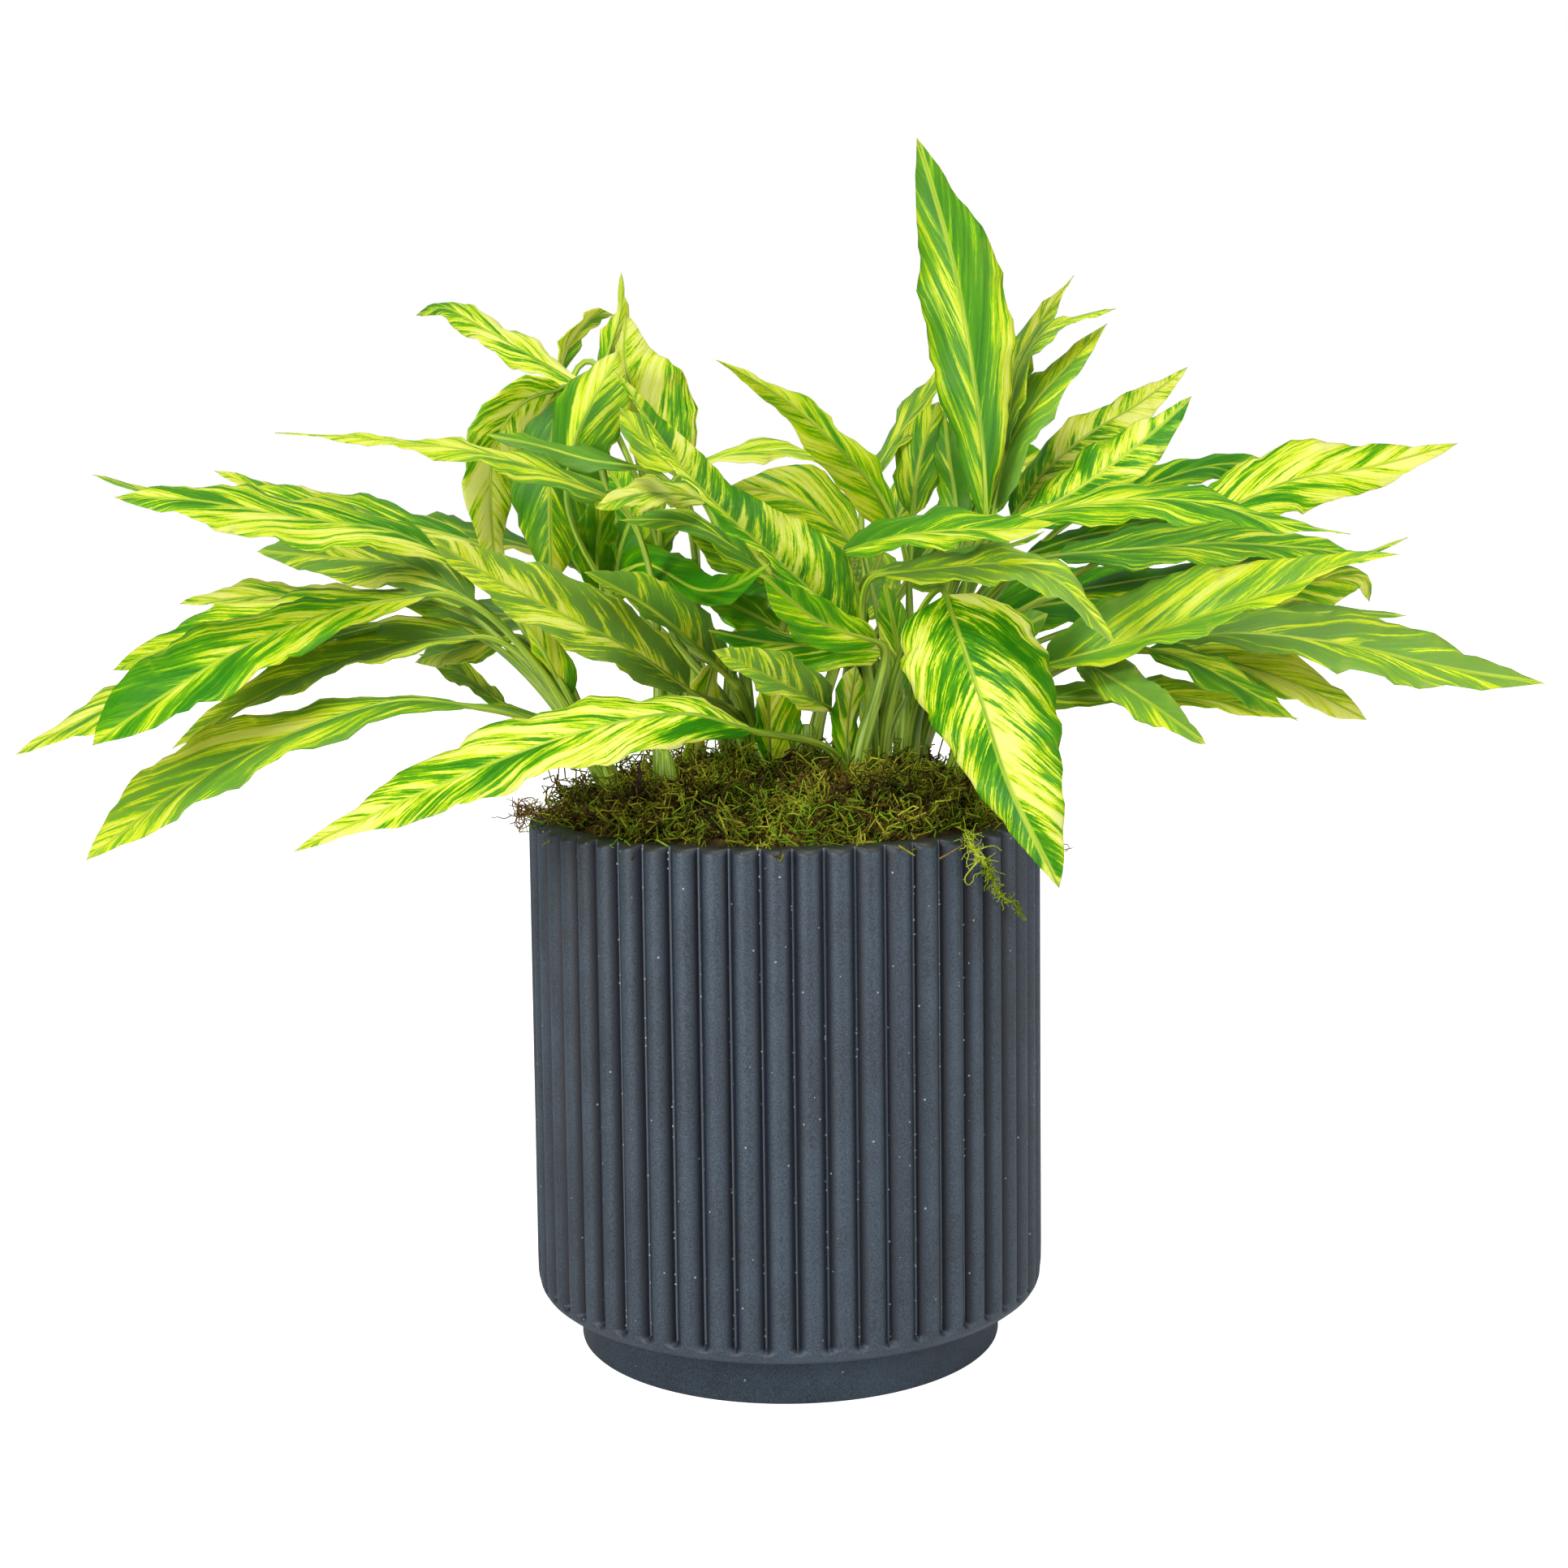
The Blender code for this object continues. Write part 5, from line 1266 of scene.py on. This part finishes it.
def make_strand_rule(surface):
    sizes = {"Density": "Float", "Length": "Float", "Thickness": "Float", "Curl": "Float", "Seed": "Int"}
    tree, given = new_rule("moss_strands", sizes)
    here = put(tree, "GeometryNodeInputPosition")[0]
    heaps = noise(vector_step("ADD", here, n1=joined(given["Seed"], 0.0, 0.0))[0], HEAPS, 1.0)
    spots = put(tree, "GeometryNodeDistributePointsOnFaces", Mesh=given["Geometry"],
                Density=given["Density"] * fade(heaps, 0.4, 0.6), Seed=given["Seed"])
    line = put(tree, "GeometryNodeCurvePrimitiveLine", n1=joined(0.0, 0.0, given["Length"]))
    thread = put(tree, "GeometryNodeResampleCurve", Curve=line[0], Count=STRAND_POINTS)
    turned = put(tree, "FunctionNodeRandomValue", {"data_type": "FLOAT_VECTOR"},
                 n0=STRAND_TILTS[0], n1=STRAND_TILTS[1], Seed=given["Seed"])
    sized = put(tree, "FunctionNodeRandomValue", {"data_type": "FLOAT"},
                n2=STRAND_LENGTHS[0], n3=STRAND_LENGTHS[1], Seed=given["Seed"])
    strands = put(tree, "GeometryNodeInstanceOnPoints", Points=spots[0], Instance=thread[0],
                  Rotation=turned[0], Scale=sized[1] * (fade(heaps, 0.35, 0.65) + 0.5))
    loose = put(tree, "GeometryNodeRealizeInstances", Geometry=strands[0])
    bend = put(tree, "ShaderNodeTexNoise", Vector=here, Scale=CURLS, Detail=1.0)["Color"]
    bend = vector_step("SUBTRACT", bend, n1=(0.5, 0.5, 0.5))[0]
    share = put(tree, "GeometryNodeSplineParameter")[0]
    push = vector_step("SCALE", bend, Scale=given["Curl"] * share)[0]
    curled = put(tree, "GeometryNodeSetPosition", Geometry=loose[0], Offset=push)
    ring = put(tree, "GeometryNodeCurvePrimitiveCircle", Resolution=3, Radius=given["Thickness"])
    skin = put(tree, "GeometryNodeCurveToMesh", Curve=curled[0], Profile_Curve=ring[0], Fill_Caps=True)
    return end_rule(skin[0], surface)


def add_strands(name, surface, density, length, curl, seed):
    ring, turn = np.meshgrid(np.linspace(0.2, 1.0, GROUND_RINGS),
                             np.linspace(0, 2 * np.pi, GROUND_SIDES, endpoint=False))
    points = on_moss((INNER_RADIUS - GROUND_EDGE) * ring.ravel(), turn.ravel())
    rows = [(GROUND_RINGS * k, GROUND_RINGS * ((k + 1) % GROUND_SIDES)) for k in range(GROUND_SIDES)]
    faces = [(a + r, a + r + 1, b + r + 1, b + r) for a, b in rows for r in range(GROUND_RINGS - 1)]
    made = add_piece(name, points, faces, [surface])
    run_rule(made, make_strand_rule(surface),
             {"Density": density, "Length": length, "Thickness": STRAND_RADIUS, "Curl": curl, "Seed": seed})
    keep(made, "moss")


for strands in STRANDS:
    add_strands(*strands)

# %% [markdown]
# A few strays hang over the rim: a tangle of thin brown twigs on the left, a green trail with fine
# leaflets down the front right, and a curl beside the long leaf. A dark dried stub of an old shoot
# stands beside the left shoots. They are drawn as routes and skinned as thin wires, and fine crooked
# hairs are thrown round the thick ones.

# %% Strays over the rim
TWIG_ROUTES = (
    ((-132.2, 262.1, -14), (-131.3, 266.6, -14), (-129.2, 269.7, -12), (-124.2, 270.5, -12),
     (-123.0, 268.2, -14), (-124.0, 264.8, -14)),
    ((-116.7, 262.2, -14), (-116.3, 269.3, -14), (-114.5, 274.3, -13), (-111.9, 279.4, -12)),
    ((-116.1, 269.8, -14), (-112.3, 274.9, -13), (-110.8, 278.8, -12), (-105.4, 280.1, -12)),
    ((-105.3, 263.2, -14), (-105.0, 269.7, -14), (-104.2, 273.5, -14)),
    ((-124.0, 262.5, -14), (-129.5, 261.5, -15), (-133.4, 261.4, -16), (-136.4, 262.8, -16)),
    ((-128.2, 261.9, -14), (-129.0, 257.5, -16), (-131.5, 253.9, -17), (-126.7, 253.6, -18)),
    ((-129.6, 257.0, -16), (-131.9, 255.3, -16), (-132.6, 258.2, -16), (-135.8, 257.6, -16)),
    ((-119.6, 262.5, -16), (-126.2, 256.9, -18), (-130.6, 254.8, -18)),
    ((-92.2, 269.0, -14), (-96.1, 271.3, -14), (-98.8, 275.3, -14), (-101.0, 273.9, -14),
     (-99.2, 268.7, -14)),
    ((-93.9, 269.8, -14), (-97.7, 275.8, -14), (-99.3, 279.8, -14)),
    ((76.3, 237.5, -112), (81.4, 240.2, -108), (85.9, 242.9, -105), (93.7, 248.0, -94)),
    ((128.0, 244.0, -30), (135.4, 243.4, -40), (139.3, 244.2, -40), (140.9, 242.2, -40),
     (138.6, 240.3, -40)),
    ((128.0, 244.0, -30), (135.8, 241.0, -40), (139.3, 241.6, -40), (142.6, 242.2, -40)),
)
STUB_ROUTES = (
    ((-72.0, 262.0, -44), (-72.5, 272.0, -44), (-71.0, 280.0, -44), (-71.5, 286.0, -43)),
    ((-72.5, 270.0, -44), (-75.0, 274.0, -45), (-75.5, 277.0, -46)),
)
TWIG_TANGLE = ((-133.0, 262.4, -12), (-126.0, 263.6, -12), (-119.3, 264.2, -12), (-113.7, 263.6, -12),
               (-106.9, 264.6, -12))
TRAIL = ((89.0, 252.0, -98), (92.3, 244.1, -102), (96.2, 238.9, -99), (100.1, 232.9, -95),
         (102.6, 227.7, -92), (105.2, 221.8, -90), (108.4, 217.2, -86), (112.9, 215.2, -80),
         (115.8, 211.2, -76), (118.8, 206.3, -71))
TRAIL_SIDES = (
    ((96.8, 237.3, -98), (92.3, 232.4, -101), (89.0, 227.5, -104), (90.7, 224.2, -102), (93.3, 226.5, -100),
     (93.9, 229.4, -99), (98.8, 230.7, -95)),
    ((95.1, 239.2, -98), (102.0, 236.7, -92), (105.8, 235.8, -88)),
    ((94.8, 242.1, -98), (103.3, 243.8, -90), (107.3, 241.3, -86)),
)
WIRE_SIDES = 5
WIRE_TAPER = 0.5  # the tip's radius against the foot's
HAIR_PLACES = 200  # along the route that the hairs stand round


def crooked_hairs(route, count, spread, length, seed):
    """Short bent lines round a route, wider round its start than round its end."""
    pick = np.random.default_rng(seed)
    line = smooth_line(seen(route), HAIR_PLACES)
    hairs = []
    for k in pick.integers(0, HAIR_PLACES, count):
        share = 1 - 0.75 * k / HAIR_PLACES
        start = line[k] + pick.normal(0, spread * share * 0.5, 3)
        steps = pick.normal(0, length / 4, (4, 3)) + pick.normal(0, length / 5, 3)
        hairs.append(np.vstack([start, start + np.cumsum(steps * share, axis=0)]))
    return hairs


def add_wires(name, lines, radius, surface):
    points, faces = np.empty((0, 3)), []
    for line in lines:
        line = smooth_line(line, 3 * len(line))
        faces += loop_faces(len(line), WIRE_SIDES, len(points))
        rings = tube(line, np.linspace(1.0, WIRE_TAPER, len(line)) * radius, WIRE_SIDES)
        points = np.vstack([points, rings.reshape(-1, 3)])
    keep(add_piece(name, points, faces, [surface]), "moss")


stub_finish = make_moss_finish("dry_stub", rgb(34, 20, 26), rgb(62, 40, 44), rgb(96, 72, 66))
twig_finish = make_moss_finish("dry_twig", rgb(54, 36, 14), rgb(104, 76, 34), rgb(150, 120, 62))
trail_finish = make_moss_finish("trailing_moss", rgb(84, 104, 4), rgb(146, 166, 14), rgb(204, 216, 70))
add_wires("stray_twigs", [seen(route) for route in TWIG_ROUTES], 0.45 * MM, twig_finish)
add_wires("twig_tangle", crooked_hairs(TWIG_TANGLE, 110, 2.6 * MM, 7.0 * MM, 5), 0.33 * MM, twig_finish)
add_wires("dry_stub", [seen(route) for route in STUB_ROUTES], 1.7 * MM, stub_finish)
add_wires("trail_stems", [seen(route) for route in (TRAIL,) + TRAIL_SIDES], 0.45 * MM, trail_finish)
add_wires("trail_hairs", crooked_hairs(TRAIL, 190, 2.2 * MM, 4.0 * MM, 8), 0.26 * MM, trail_finish)

# %% [markdown]
# The potting soil shows only as dark crumbs where the moss is thin. Its solid already has the right
# form, so it only takes a finish.

# %% Soil
def make_soil_finish():
    made, tree = new_tree("potting_soil")
    crumbs = noise(object_place(tree), 260.0, 4.0, 0.7)
    colour = ramp(crumbs, [(0.35, rgb(24, 16, 10)), (0.7, rgb(70, 50, 32))])
    set_finish(tree, colour, 0.95, (crumbs, 0.8, 0.002))
    return made


soil = nodes["soil"]
soil.data.materials.clear()
soil.data.materials.append(make_soil_finish())
